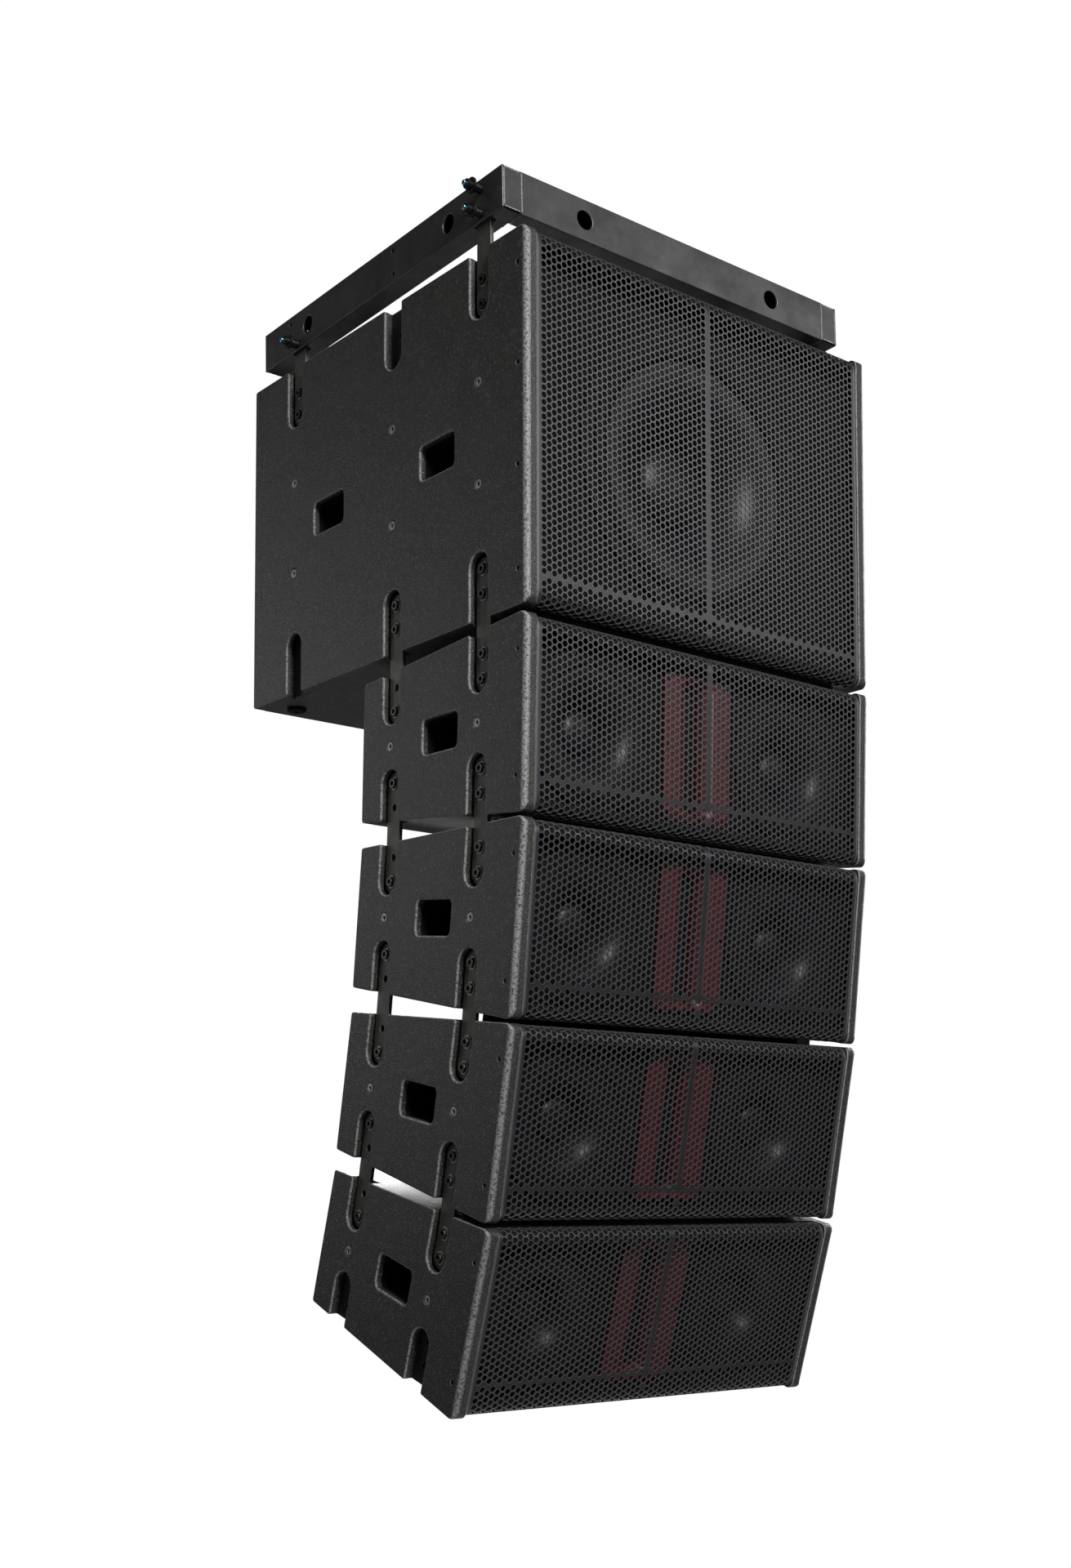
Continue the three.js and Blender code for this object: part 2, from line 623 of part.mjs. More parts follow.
let above = sub;
SPLAY.forEach((splay, index) => {
  const number = index + 1;
  const first = index === 0;
  const pivot = [FRONT_COLUMN, first ? -subHalf - SUB_PIVOT_DROP : lastPin - FRONT_PIVOT_DROP];
  const arm = turned(pivotInElement, splay);
  const origin = [pivot[0] - arm[0], pivot[1] - arm[1]];
  const inUpper = (point) => turned(point, splay).map((value, i) => value + origin[i]);
  const upperFront = first ? [-subPinZ + PIN_PITCH, -subPinZ] : [lastPin + PIN_PITCH, lastPin];
  const upperRear = first ? [-subPinZ + PIN_PITCH, -subPinZ] : [-ELEMENT_REAR_PIN];
  const lowerFront = [ELEMENT_FRONT_PIN + PIN_PITCH, ELEMENT_FRONT_PIN].map((z) =>
    inUpper([FRONT_COLUMN, z]),
  );
  const lowerRear = inUpper([REAR_COLUMN, ELEMENT_REAR_PIN]);
  const onColumn = (column, zs) => zs.map((z) => [column, z]);
  for (const side of SIDES) {
    const frontPins = [...onColumn(FRONT_COLUMN, upperFront), ...lowerFront];
    const front = linkBar(side.sign, [frontPins[0], ...lowerFront], frontPins, []);
    addMesh(above, `front_link_${number}_${side.name}`, front, STEEL);
    const rearPins = [...onColumn(REAR_COLUMN, upperRear), lowerRear];
    const rear = linkBar(side.sign, [rearPins[0], lowerRear], rearPins, []);
    addMesh(above, `rear_link_${number}_${side.name}`, rear, STEEL);
  }
  const element = placed(above, ...origin, splay);
  const name = (piece) => `element_${number}_${piece}`;
  const shell = cabinetShell(ELEMENT, elementSlots, ELEMENT_HANDLES, elementMouths);
  addMesh(element, name("shell"), shell, PAINTED_WOOD);
  addMesh(element, name("grille"), grille(ELEMENT), GRILLE_STEEL);
  for (const woofer of wooferPair)
    addMesh(element, name(`woofer_${woofer.name}`), driver(woofer), PAPER_CONE);
  addMesh(element, name("horn"), horn(), RED_PLASTIC);
  addMesh(element, name("amp_panel"), ampPanel(ELEMENT), ALUMINIUM);
  above = element;
});

export default array;
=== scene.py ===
"""The looks of a flown line array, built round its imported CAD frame.

Shapes are worked out in millimetres in each cabinet's own frame, whose origin is the middle of
the cabinet's front at mid-height, with X along the front, +Y to the rear and +Z up. A cabinet's
matrix, found from the frame's joints, puts them in place.
"""

import json
import math
import random
from typing import NamedTuple

import bmesh
import bpy
from mathutils import Matrix, Vector
from mathutils.geometry import tessellate_polygon

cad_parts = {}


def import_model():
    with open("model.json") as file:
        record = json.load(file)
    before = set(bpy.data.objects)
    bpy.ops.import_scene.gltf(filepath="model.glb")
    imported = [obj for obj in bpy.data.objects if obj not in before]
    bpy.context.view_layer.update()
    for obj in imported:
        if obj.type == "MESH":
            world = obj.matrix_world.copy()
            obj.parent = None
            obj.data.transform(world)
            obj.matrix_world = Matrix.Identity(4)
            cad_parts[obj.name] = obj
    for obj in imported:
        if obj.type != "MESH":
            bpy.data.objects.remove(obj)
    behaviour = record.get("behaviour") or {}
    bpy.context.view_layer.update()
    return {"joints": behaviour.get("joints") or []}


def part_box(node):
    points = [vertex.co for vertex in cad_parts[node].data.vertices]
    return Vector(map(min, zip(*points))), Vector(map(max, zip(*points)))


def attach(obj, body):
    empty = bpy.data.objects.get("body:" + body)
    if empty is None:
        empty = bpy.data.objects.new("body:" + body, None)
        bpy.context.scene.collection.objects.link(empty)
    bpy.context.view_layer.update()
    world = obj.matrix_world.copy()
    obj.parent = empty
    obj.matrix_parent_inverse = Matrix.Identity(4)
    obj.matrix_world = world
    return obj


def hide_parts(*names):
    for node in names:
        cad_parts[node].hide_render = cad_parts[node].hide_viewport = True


MM = 0.001

# ---------------------------------------------------------------- dimensions shared with the CAD
HALF_WIDTH = 300
WALL = 18
INSIDE = HALF_WIDTH - WALL
RECESS = 30  # baffle behind the side panels' front edges
GAP = 0.3
FRONT_COLUMN = 100  # rigging columns, back from a cabinet's front
REAR_COLUMN = 298
SUB_REAR_COLUMN = 554
PIN_PITCH = 32
ELEMENT_FRONT_PIN = 56
ELEMENT_REAR_PIN = 48
SUB_PIN = 170.5  # inner pin of a subwoofer slot
SUB_HALF_HEIGHT = 237.5
SUB_PIVOT_DROP = 41
SUB_TILT = 1.5
SPLAY = [1.7, 4.8, 5.0, 6.2]
SLOT_HALF_WIDTH = 19.5
CHANNEL_HALF_WIDTH = 23.5
CHANNEL_EXTRA = 10
SLOT_DEPTH = 8  # to the channel that the bars lie in
CHANNEL_DEPTH = 14.2
BAR = {"half": 15, "face": 8.3, "thickness": 5}
PIN_HEAD = 9

FRAME = {"x": 297, "y": 297, "height": 56, "tube": 30, "wall": 3}
SHACKLE = {"radius": 12.5, "tube_x": 166, "rail_y": 177}
QUICK_PIN = {"collar": 6.5, "collar_end": 12, "disc": 10.5, "disc_end": 16.3, "body": 23, "tail": 27}


class Cabinet(NamedTuple):
    depth: float
    front: float  # half height at the front
    rear: float  # half height at the rear
    slots: tuple  # (column, distance of the slot's round end from mid-height, inner pin's)
    handles: tuple
    screws: tuple  # (y, z) of the panel screws
    grille_screws: tuple  # z of the screws along the grille's side edges


ELEMENT = Cabinet(
    depth=365,
    front=124,
    rear=93.5,
    slots=((FRONT_COLUMN, 38, ELEMENT_FRONT_PIN), (REAR_COLUMN, 30, ELEMENT_REAR_PIN)),
    handles=(183,),
    screws=((FRONT_COLUMN, 0), (REAR_COLUMN, 0)),
    grille_screws=(-77.5, 77.5),
)
SUB = Cabinet(
    depth=668,
    front=SUB_HALF_HEIGHT,
    rear=SUB_HALF_HEIGHT,
    slots=tuple((column, 150.5, SUB_PIN) for column in (FRONT_COLUMN, REAR_COLUMN, SUB_REAR_COLUMN)),
    handles=(193, 461),
    screws=tuple((y, z) for y in (FRONT_COLUMN, REAR_COLUMN, SUB_REAR_COLUMN) for z in (68, -63.5)),
    grille_screws=(-192.5, -62.5, 65.5, 192.5),
)

HANDLE = {"half_width": 39, "half_height": 23, "depth": 55, "round": 8, "wall": 4}
FOOT = {"radius": 14, "height": 6, "x": 255, "y": (46, 622)}
WOOFER = {"x": 172, "ring": 104, "hole": 93, "depth": 95}
SUB_DRIVER = {"x": 0, "ring": 194, "hole": 178, "depth": 165}
HORN = {"half_width": 58, "half_height": 98, "mouth": 28, "slot": 10, "throat": 110}
SEAL = {"y": 98, "half": 6, "sunk": 1.2, "height": 9.8, "reach": 270}  # below the splay pivots
GRILLE = {"sheet": 1.6, "front": 2, "bend": 16, "clear": 0.5, "half_width": 281.4, "back": 29.7}
AMP = {"half_width": 150, "half_height": 64, "recess": 14}
FRAME_BAR_PINS = {"front": (49, 81), "rear": (35,)}  # heights above the subwoofer's top


class AmpPanel(NamedTuple):
    half_width: float
    half_height: float
    corner: float
    fins: tuple  # first one's x, number, half length and height over the panel's face
    sockets: tuple  # their columns, and the rows of the large and the small ones
    display: tuple  # ranges of x and z
    knobs: tuple  # columns
    screws: tuple  # columns, rows and radius


ELEMENT_AMP = AmpPanel(
    half_width=149.4,
    half_height=63.4,
    corner=4,
    fins=(-135.4, 9, 55.4, 9.7),
    sockets=((-10, 26), 26, -24),
    display=((52, 132), (4, 44)),
    knobs=(64, 92, 120),
    screws=((-143.4, 143.4), (-57.4, 57.4), 3),
)
SUB_AMP = AmpPanel(
    half_width=170,
    half_height=120,
    corner=6,
    fins=(-150, 14, 100, 8),
    sockets=((36, 72), 60, 14),
    display=((100, 156), (0, 76)),
    knobs=(),
    screws=((-162, 0, 162), (-112, 112), 3.4),
)
AMP_SHEET = 3
AMP_BOX = {"margin": 14, "depth": 60}  # behind an element's panel
FIN = {"pitch": 11, "thickness": 3}
KNOB_ROW = -26

# ---------------------------------------------------------------- details of the finish
FLUSH = 0.02  # rounding of an edge that lies against another face
PANEL_EDGE = 1.6  # roundings of a side panel's outer edges
CHEEK_EDGE = 7.9
SLOT_EDGE = 3
CHEEK_CORNER = 11
REAR_CORNER = 4
SCREW_RADIUS = 6.4
ROUND_STEPS = 3
SHARP_ANGLE = math.radians(38)
HEX_SIDE = 5.313  # of a grille cell
HOLE_SIDE = 4.388  # of the hole in it
STRIP_DROP = 37  # of the plain strip, below the sheet's top bend
STRIP_SQUEEZE = 0.6  # how far the rows below the strip move up to it, in rows
PLAIN_MARGIN = 8  # without holes, along the sheet's rear edges
GRILLE_COLUMNS = 34  # on each side of the plain middle strip
CONE_CURVE = 2.8  # how much steeper a cone is at its neck than at its edge
DOME_RISE = 0.4  # of a dust cap, as a share of its radius
FOAM = (2.2, 4.2)  # depth of the foam's two faces below the grille's outer one
FRAME_EDGE = 1.2
GRILLE_SCREW = {"y": 17, "hole": 3.6, "radius": 3.4, "sunk": 0.8}
SCREW_CLEARANCE = 1
DRIVER_SCREW = {"radius": 4, "bore": 1.8, "head": 2, "floor": 0.6, "paint": 3}
HORN_SCREW = {"radius": 3.6, "bore": 1.7, "head": 1.6, "floor": 0, "paint": 1}
SHACKLE_EDGE = 1.2
PIN_HOLE = {"radius": 5.4, "edge": 0.4}
SMALL_RAIL_HOLES = {"radius": 3.2, "places": ((-47, -11), (-47, -43.5), (224, -11))}
FRAME_GAP = 20  # about, from the subwoofer's top to the frame
FRAME_BAR_CUT = 6  # a frame bar's upper end is that much closer to its pin
WELD_RADIUS = 1.3
WELD_STEP = 2.2
WELD_SIDES = 8


# ---------------------------------------------------------------- bodies gathered into one mesh
class Shape:
    """Closed bodies that become one mesh. Their wear and highlight value is 0 on a flat face and 1 along
    an edge that a look paints lighter, for wear and as a painted highlight.
    """

    def __init__(self):
        self.points = []
        self.faces = []
        self.paints = []
        self.wear_and_highlight = []

    def add(self, points, faces, paint=0, wear_and_highlight=None):
        start = len(self.points)
        self.points.extend(points)
        self.wear_and_highlight.extend(wear_and_highlight or [0.0] * len(points))
        self.faces.extend(tuple(start + i for i in face) for face in faces)
        self.paints.extend([paint] * len(faces))

    def made(self, name, materials):
        """The mesh in metres, with its bodies' faces turned outwards."""
        mesh = bpy.data.meshes.new(name)
        mesh.from_pydata([Vector(p) * MM for p in self.points], [], self.faces)
        for material in materials:
            mesh.materials.append(material)
        mesh.polygons.foreach_set("material_index", self.paints)
        attribute = mesh.attributes.new("wear_and_highlight", "FLOAT", "POINT")
        attribute.data.foreach_set("value", self.wear_and_highlight)
        work = bmesh.new()
        work.from_mesh(mesh)
        bmesh.ops.recalc_face_normals(work, faces=work.faces)
        work.to_mesh(mesh)
        work.free()
        mesh.shade_smooth()
        mesh.set_sharp_from_angle(angle=SHARP_ANGLE)
        return mesh


def on_side(sign):
    """Puts (y, z, distance from the middle plane) on the left (-1) or right (1) side."""
    return lambda u, v, w: (sign * w, u, v)


def on_front(u, v, w):
    """Puts (x, z, y)."""
    return (u, w, v)


def level(u, v, w):
    return (u, v, w)


def circle(u, v, radius, count=24):
    angles = [2 * math.pi * i / count for i in range(count)]
    return [(u + radius * math.cos(a), v + radius * math.sin(a)) for a in angles]


def hexagon(u, v, radius, count=24):
    """A hexagon drawn with as many points as a circle, so that one can be joined to the other."""
    points = []
    for i in range(count):
        a = 2 * math.pi * i / count
        r = radius * math.cos(math.pi / 6) / math.cos(a % (math.pi / 3) - math.pi / 6)
        points.append((u + r * math.cos(a), v + r * math.sin(a)))
    return points


def rectangle(u, v, half_u, half_v, fillet, rounding=0.0):
    """The corners of a rectangle, anticlockwise, for outline()."""
    signs = [(-1, -1), (1, -1), (1, 1), (-1, 1)]
    return [Corner(u + su * half_u, v + sv * half_v, fillet, rounding, rounding) for su, sv in signs]


def loft(shape, place, loops, paint=0, wear_and_highlight=None, ring=False):
    """A skin through loops of (u, v) at heights w. Its ends are capped, or joined if it is a ring."""
    count = len(loops[0][0])
    points = [place(u, v, w) for loop, w in loops for u, v in loop]
    rows = len(loops)
    faces = []
    for row in range(rows if ring else rows - 1):
        a = row * count
        b = (row + 1) % rows * count
        for i in range(count):
            j = (i + 1) % count
            faces.append((a + i, a + j, b + j, b + i))
    if not ring:
        faces.append(tuple(reversed(range(count))))
        faces.append(tuple(range((rows - 1) * count, rows * count)))
    worn_and_highlit = [wear_and_highlight[row] for row in range(rows) for _ in range(count)] if wear_and_highlight else None
    shape.add(points, faces, paint, worn_and_highlit)


def lathe(shape, place, centre, profile, paint=0, count=24, ring=False, wear_and_highlight=None):
    """Turns a profile of (radius, w) about the axis through centre."""
    loops = [(circle(*centre, max(radius, 0.01), count), w) for radius, w in profile]
    loft(shape, place, loops, paint, wear_and_highlight, ring)


class Corner(NamedTuple):
    u: float
    v: float
    fillet: float
    before: float  # rounding of the face's edge where the outline arrives
    after: float  # and where it leaves


def outline(corners, steps=5):
    """Points (u, v, edge rounding) along corners that are joined by straight lines."""
    points = []
    for i, corner in enumerate(corners):
        here = Vector((corner.u, corner.v))
        back = (Vector(corners[i - 1][:2]) - here).normalized()
        on = (Vector(corners[(i + 1) % len(corners)][:2]) - here).normalized()
        turn = math.pi - back.angle(on)
        if corner.fillet <= 0 or turn < 0.02:
            points.append((corner.u, corner.v, corner.after))
            continue
        start = here + back * corner.fillet * math.tan(turn / 2)
        side = 1 if back.x * on.y - back.y * on.x < 0 else -1
        arm = Vector((-back.y, back.x)) * side * corner.fillet
        centre = start - arm
        for k in range(steps + 1):
            share = k / steps
            p = centre + Matrix.Rotation(side * turn * share, 2) @ arm
            points.append((p.x, p.y, corner.before + (corner.after - corner.before) * share))
    return points


def into_material(loop, is_hole):
    """For each point of a loop, the way its edge moves when the face shrinks by 1."""
    area = sum(a[0] * b[1] - b[0] * a[1] for a, b in zip(loop, loop[1:] + loop[:1]))
    turn = 1 if (area > 0) != is_hole else -1
    moves = []
    for i, point in enumerate(loop):
        here = Vector(point[:2])
        first = (here - Vector(loop[i - 1][:2])).normalized()
        second = (Vector(loop[(i + 1) % len(loop)][:2]) - here).normalized()
        n1 = Vector((-first.y, first.x)) * turn
        n2 = Vector((-second.y, second.x)) * turn
        moves.append((n1 + n2) / max(0.3, 1 + n1.dot(n2)))
    return moves


def plate(shape, place, low, high, outer, holes=(), both=False, paint=0):
    """A flat body from w = low to w = high, its edges rounded at high, or at both faces."""
    out = 1 if high > low else -1
    quarter = [math.pi / 2 * k / ROUND_STEPS for k in range(ROUND_STEPS + 1)]
    rows = [(-1, a) for a in reversed(quarter)] if both else [(-1, None)]
    rows += [(1, a) for a in quarter]
    loops = [outer, *holes]
    starts, points, faces, worn_and_highlit = [], [], [], []
    for number, loop in enumerate(loops):
        moves = into_material(loop, number > 0)
        count = len(loop)
        starts.append(len(points))
        for end, angle in rows:
            for (u, v, rounding), move in zip(loop, moves):
                r = max(rounding, FLUSH)
                inset = 0 if angle is None else r * (1 - math.cos(angle))
                drop = 0 if angle is None else r * (1 - math.sin(angle))
                w = high - out * drop if end > 0 else low + out * drop
                points.append(place(u + move.x * inset, v + move.y * inset, w))
                # wear and painted highlight along the rounding, highest midway round the edge
                worn_and_highlit.append(0.0 if angle is None else math.sin(2 * angle))
        for row in range(len(rows) - 1):
            a = starts[-1] + row * count
            for i in range(count):
                j = (i + 1) % count
                faces.append((a + i, a + j, a + count + j, a + count + i))
    for row in (0, len(rows) - 1):
        end, angle = rows[row]
        flat, index = [], []
        for start, number, loop in zip(starts, range(len(loops)), loops):
            moves = into_material(loop, number > 0)
            inset = 0 if angle is None else 1
            flat.append([
                Vector((u + m.x * inset * max(r, FLUSH), v + m.y * inset * max(r, FLUSH), 0))
                for (u, v, r), m in zip(loop, moves)
            ])
            index.extend(start + row * len(loop) + i for i in range(len(loop)))
        faces.extend(tuple(index[i] for i in triple) for triple in tessellate_polygon(flat))
    shape.add(points, faces, paint, worn_and_highlit)


def block(shape, place, u, v, w, rounding=0.6, paint=0):
    """A box given by its low and high value along each direction."""
    centre = ((u[0] + u[1]) / 2, (v[0] + v[1]) / 2)
    half = ((u[1] - u[0]) / 2, (v[1] - v[0]) / 2)
    corners = rectangle(*centre, *half, rounding * 1.2, rounding)
    plate(shape, place, w[0], w[1], outline(corners, 3), both=True, paint=paint)


def hole(u, v, radius, count, rounding):
    """A round hole through a plate, with its edge rounding."""
    return [(x, y, rounding) for x, y in circle(u, v, radius, count)]


# ---------------------------------------------------------------- cabinets
def half_height(cabinet, y):
    return cabinet.front + (cabinet.rear - cabinet.front) * y / cabinet.depth


def slot_corners(cabinet, column, up, half, end, end_fillet, mouth_fillet, edge, slot):
    """The corners of a notch in a side panel's top or bottom edge, in the outline's order."""
    corners = []
    for turn in (1, -1):
        y = column + up * turn * half
        mouth = Corner(y, up * half_height(cabinet, y), mouth_fillet, edge, slot)
        bottom = Corner(y, up * end, end_fillet, slot, slot)
        if turn > 0:
            corners += [mouth, bottom]
        else:
            corners += [bottom, mouth._replace(before=slot, after=edge)]
    return corners


def panel_outline(cabinet, edge, front_edge, slot_edge, half, end_extra, end_fillet, mouth_fillet):
    """The side panel seen from the side, with its slots, anticlockwise in (y, z)."""

    def notch(column, tip, up):
        end = tip - end_extra
        return slot_corners(cabinet, column, up, half, end, end_fillet, mouth_fillet, edge, slot_edge)

    z = half_height(cabinet, 0)
    rear = half_height(cabinet, cabinet.depth)
    corners = [Corner(0, -z, CHEEK_CORNER, front_edge, edge)]
    for column, tip, _ in cabinet.slots:
        corners += notch(column, tip, -1)
    corners.append(Corner(cabinet.depth, -rear, REAR_CORNER, edge, edge))
    corners.append(Corner(cabinet.depth, rear, REAR_CORNER, edge, edge))
    for column, tip, _ in reversed(cabinet.slots):
        corners += notch(column, tip, 1)
    corners.append(Corner(0, z, CHEEK_CORNER, edge, front_edge))
    return outline(corners, 6)


def handle_outline(y, rounding, grow=0.0):
    half_width = HANDLE["half_width"] + grow
    half_height = HANDLE["half_height"] + grow
    return outline(rectangle(y, 0, half_width, half_height, HANDLE["round"] + grow, rounding))


def side_panel(shape, cabinet, sign):
    """The outer layer with its rounded slots, the inner one with the wider channels, and the cups."""
    place = on_side(sign)
    seam = HALF_WIDTH - SLOT_DEPTH
    holes = [handle_outline(y, SLOT_EDGE) for y in cabinet.handles]
    holes += [hole(y, z, SCREW_RADIUS + SCREW_CLEARANCE, 24, 0.4) for y, z in cabinet.screws]
    holes += [hole(GRILLE_SCREW["y"], z, GRILLE_SCREW["hole"], 12, 0.4) for z in cabinet.grille_screws]
    half = SLOT_HALF_WIDTH
    outer = panel_outline(cabinet, PANEL_EDGE, CHEEK_EDGE, SLOT_EDGE, half, 0, half - 0.01, SLOT_EDGE + 1)
    plate(shape, place, seam, HALF_WIDTH, outer, holes)
    inner = panel_outline(cabinet, FLUSH, 2, FLUSH, CHANNEL_HALF_WIDTH, CHANNEL_EXTRA, 1, 0)
    plate(shape, place, seam, INSIDE, inner, [handle_outline(y, FLUSH) for y in cabinet.handles])
    for y in cabinet.handles:
        handle_cup(shape, place, y)


def handle_cup(shape, place, y):
    """The closed cup behind a hand hole."""

    def ring(grow):
        return [(u, v) for u, v, _ in handle_outline(y, 0, grow)]

    inside = ring(-0.05)
    outside = ring(HANDLE["wall"])
    floor = HALF_WIDTH - HANDLE["depth"]
    mouth = HALF_WIDTH - SLOT_DEPTH - 1
    loops = [
        (inside, floor),
        (inside, mouth),
        (ring(0.1), mouth),
        (outside, INSIDE - 0.05),
        (outside, floor - HANDLE["wall"]),
    ]
    # the cup takes the near-black inside paint: painted shade in the hand hole
    loft(shape, place, loops, paint=1)


def channel_plates(shape, cabinet, sign):
    """The steel plates at the back of the slots, with the holes the pins go in."""
    place = on_side(sign)
    for column, tip, pin in cabinet.slots:
        for up in (-1, 1):
            end = tip - CHANNEL_EXTRA + 0.2
            edge = half_height(cabinet, column + CHANNEL_HALF_WIDTH) - 0.3
            middle = up * (end + edge) / 2
            half = CHANNEL_HALF_WIDTH - 0.2
            corners = rectangle(column, middle, half, (edge - end) / 2, 1, 0.2)
            holes = [hole(column, up * z, PIN_HOLE["radius"], 20, 0.5) for z in (pin, pin + PIN_PITCH)]
            plate(shape, place, INSIDE, HALF_WIDTH - CHANNEL_DEPTH, outline(corners, 2), holes)


def boards(shape, cabinet, rear_recess):
    """The top, bottom and rear boards. The rear one is recessed behind the amplifier."""
    depth = cabinet.depth
    top = half_height(cabinet, RECESS)
    rear = half_height(cabinet, depth)
    inner_front = half_height(cabinet, RECESS + WALL) - WALL
    inner_rear = half_height(cabinet, depth - WALL) - WALL

    def profile(recess):
        half = AMP["half_height"]
        notch = [(depth, -half), (depth - recess, -half), (depth - recess, half), (depth, half)]
        inner = [(RECESS, inner_front), (depth - WALL, inner_rear)]
        return outline([
            Corner(RECESS, -top, 1, 0, 0),
            Corner(depth, -rear, 2, 0, 0),
            *[Corner(y, z, 0, 0, 0) for y, z in notch if recess],
            Corner(depth, rear, 2, 0, 0),
            Corner(RECESS, top, 1, 0, 0),
            *[Corner(y, z, 0, 0, 0) for y, z in inner],
            *[Corner(y, -z, 0, 0, 0) for y, z in reversed(inner)],
        ], 3)

    amp = AMP["half_width"]
    parts = [(-INSIDE, INSIDE, 0)]
    if rear_recess:
        parts = [(-INSIDE, -amp, 0), (-amp, amp, AMP["recess"]), (amp, INSIDE, 0)]
    for start, end, recess in parts:
        plate(shape, on_side(1), start, end, profile(recess))


def baffle(shape, cabinet, mouths):
    z = half_height(cabinet, RECESS + WALL) - 1
    face = outline(rectangle(0, 0, INSIDE - 0.1, z, 0, 0.2))
    # the baffle takes the near-black inside paint: painted shade behind the grille
    plate(shape, on_front, RECESS + WALL, RECESS, face, mouths, paint=1)


def driver_mouth(driver, x):
    return hole(x, 0, driver["hole"], 64, 0.5)


def countersunk_screw(shape, place, u, v, face, radius=SCREW_RADIUS, paint=0):
    """A flat screw head whose top is just below the face, with a hexagonal socket."""
    loops = [
        (circle(u, v, radius), face - 4.5),
        (circle(u, v, radius), face - 0.5),
        (circle(u, v, radius - 0.5), face - 0.15),
        (hexagon(u, v, radius * 0.52), face - 0.15),
        (hexagon(u, v, radius * 0.48), face - 4),
    ]
    loft(shape, place, loops, paint, wear_and_highlight=[0, 0.4, 1, 0.4, 0])


def cap_screw(shape, u, v, front, screw):
    """A screw head that stands out of a front, with a hexagonal socket."""
    top = front - screw["head"]
    rim = circle(u, v, screw["radius"] - 0.4, 16)
    bore = hexagon(u, v, screw["bore"], 16)
    shaft = circle(u, v, screw["radius"], 16)
    loops = [(shaft, front + 1), (rim, top), (bore, top), (bore, front - screw["floor"])]
    loft(shape, on_front, loops, screw["paint"])


def cabinet_screws(shape, cabinet):
    y_small = GRILLE_SCREW["y"]
    face = HALF_WIDTH - GRILLE_SCREW["sunk"]
    for sign in (-1, 1):
        place = on_side(sign)
        for y, z in cabinet.screws:
            countersunk_screw(shape, place, y, z, HALF_WIDTH)
        for z in cabinet.grille_screws:
            countersunk_screw(shape, place, y_small, z, face, GRILLE_SCREW["radius"], paint=1)


def seal(shape):
    """The rubber strip along an element's top, which closes the gap to the cabinet above."""
    low = half_height(ELEMENT, SEAL["y"]) - SEAL["sunk"]
    high = low + SEAL["sunk"] + SEAL["height"]
    corners = rectangle(SEAL["y"], (low + high) / 2, SEAL["half"], (high - low) / 2, 2)
    profile = [(y, z) for y, z, _ in outline(corners, 3)]
    loft(shape, on_side(1), [(profile, -SEAL["reach"]), (profile, SEAL["reach"])], paint=2)


def foot(shape, x, y, bottom):
    """A rubber foot with a shallow hollow in its underside."""
    r = FOOT["radius"]
    end = bottom - FOOT["height"]
    profile = [(r - 2, bottom + 1), (r, bottom - 1), (r - 1, end + 1), (r - 2.5, end), (4, end)]
    lathe(shape, level, (x, y), [*profile, (3.5, end + 2.5)], paint=2, count=28)


# ---------------------------------------------------------------- grilles
def grille_fold(cabinet):
    """How the grille sheet runs over the top edge, down the front and under.

    Returns a function that gives (y, z) from the distance along the sheet, 0 at the middle of the
    front, then the sheet's half length and the half length of its flat front.
    """
    slope = math.atan2(cabinet.front - cabinet.rear, cabinet.depth)
    bend = GRILLE["bend"]
    front = GRILLE["front"]
    centre_y = front + bend
    centre_z = half_height(cabinet, centre_y) - GRILLE["clear"] - bend / math.cos(slope)
    arc = bend * (math.pi / 2 - slope)
    flap = (GRILLE["back"] - centre_y + bend * -math.sin(slope)) / math.cos(slope)

    def at(s, depth):
        """The point at distance s along the sheet and depth below its outer face."""
        up = 1 if s >= 0 else -1
        run = abs(s) - centre_z
        if run <= 0:
            return front + depth, s
        if run <= arc:
            angle = math.pi - run / bend
            r = bend - depth
            return centre_y + r * math.cos(angle), up * (centre_z + r * math.sin(angle))
        angle = math.pi / 2 + slope
        y = centre_y + (bend - depth) * math.cos(angle) + (run - arc) * math.cos(slope)
        z = centre_z + (bend - depth) * math.sin(angle) - (run - arc) * math.sin(slope)
        return y, up * z

    return at, centre_z + arc + flap, centre_z


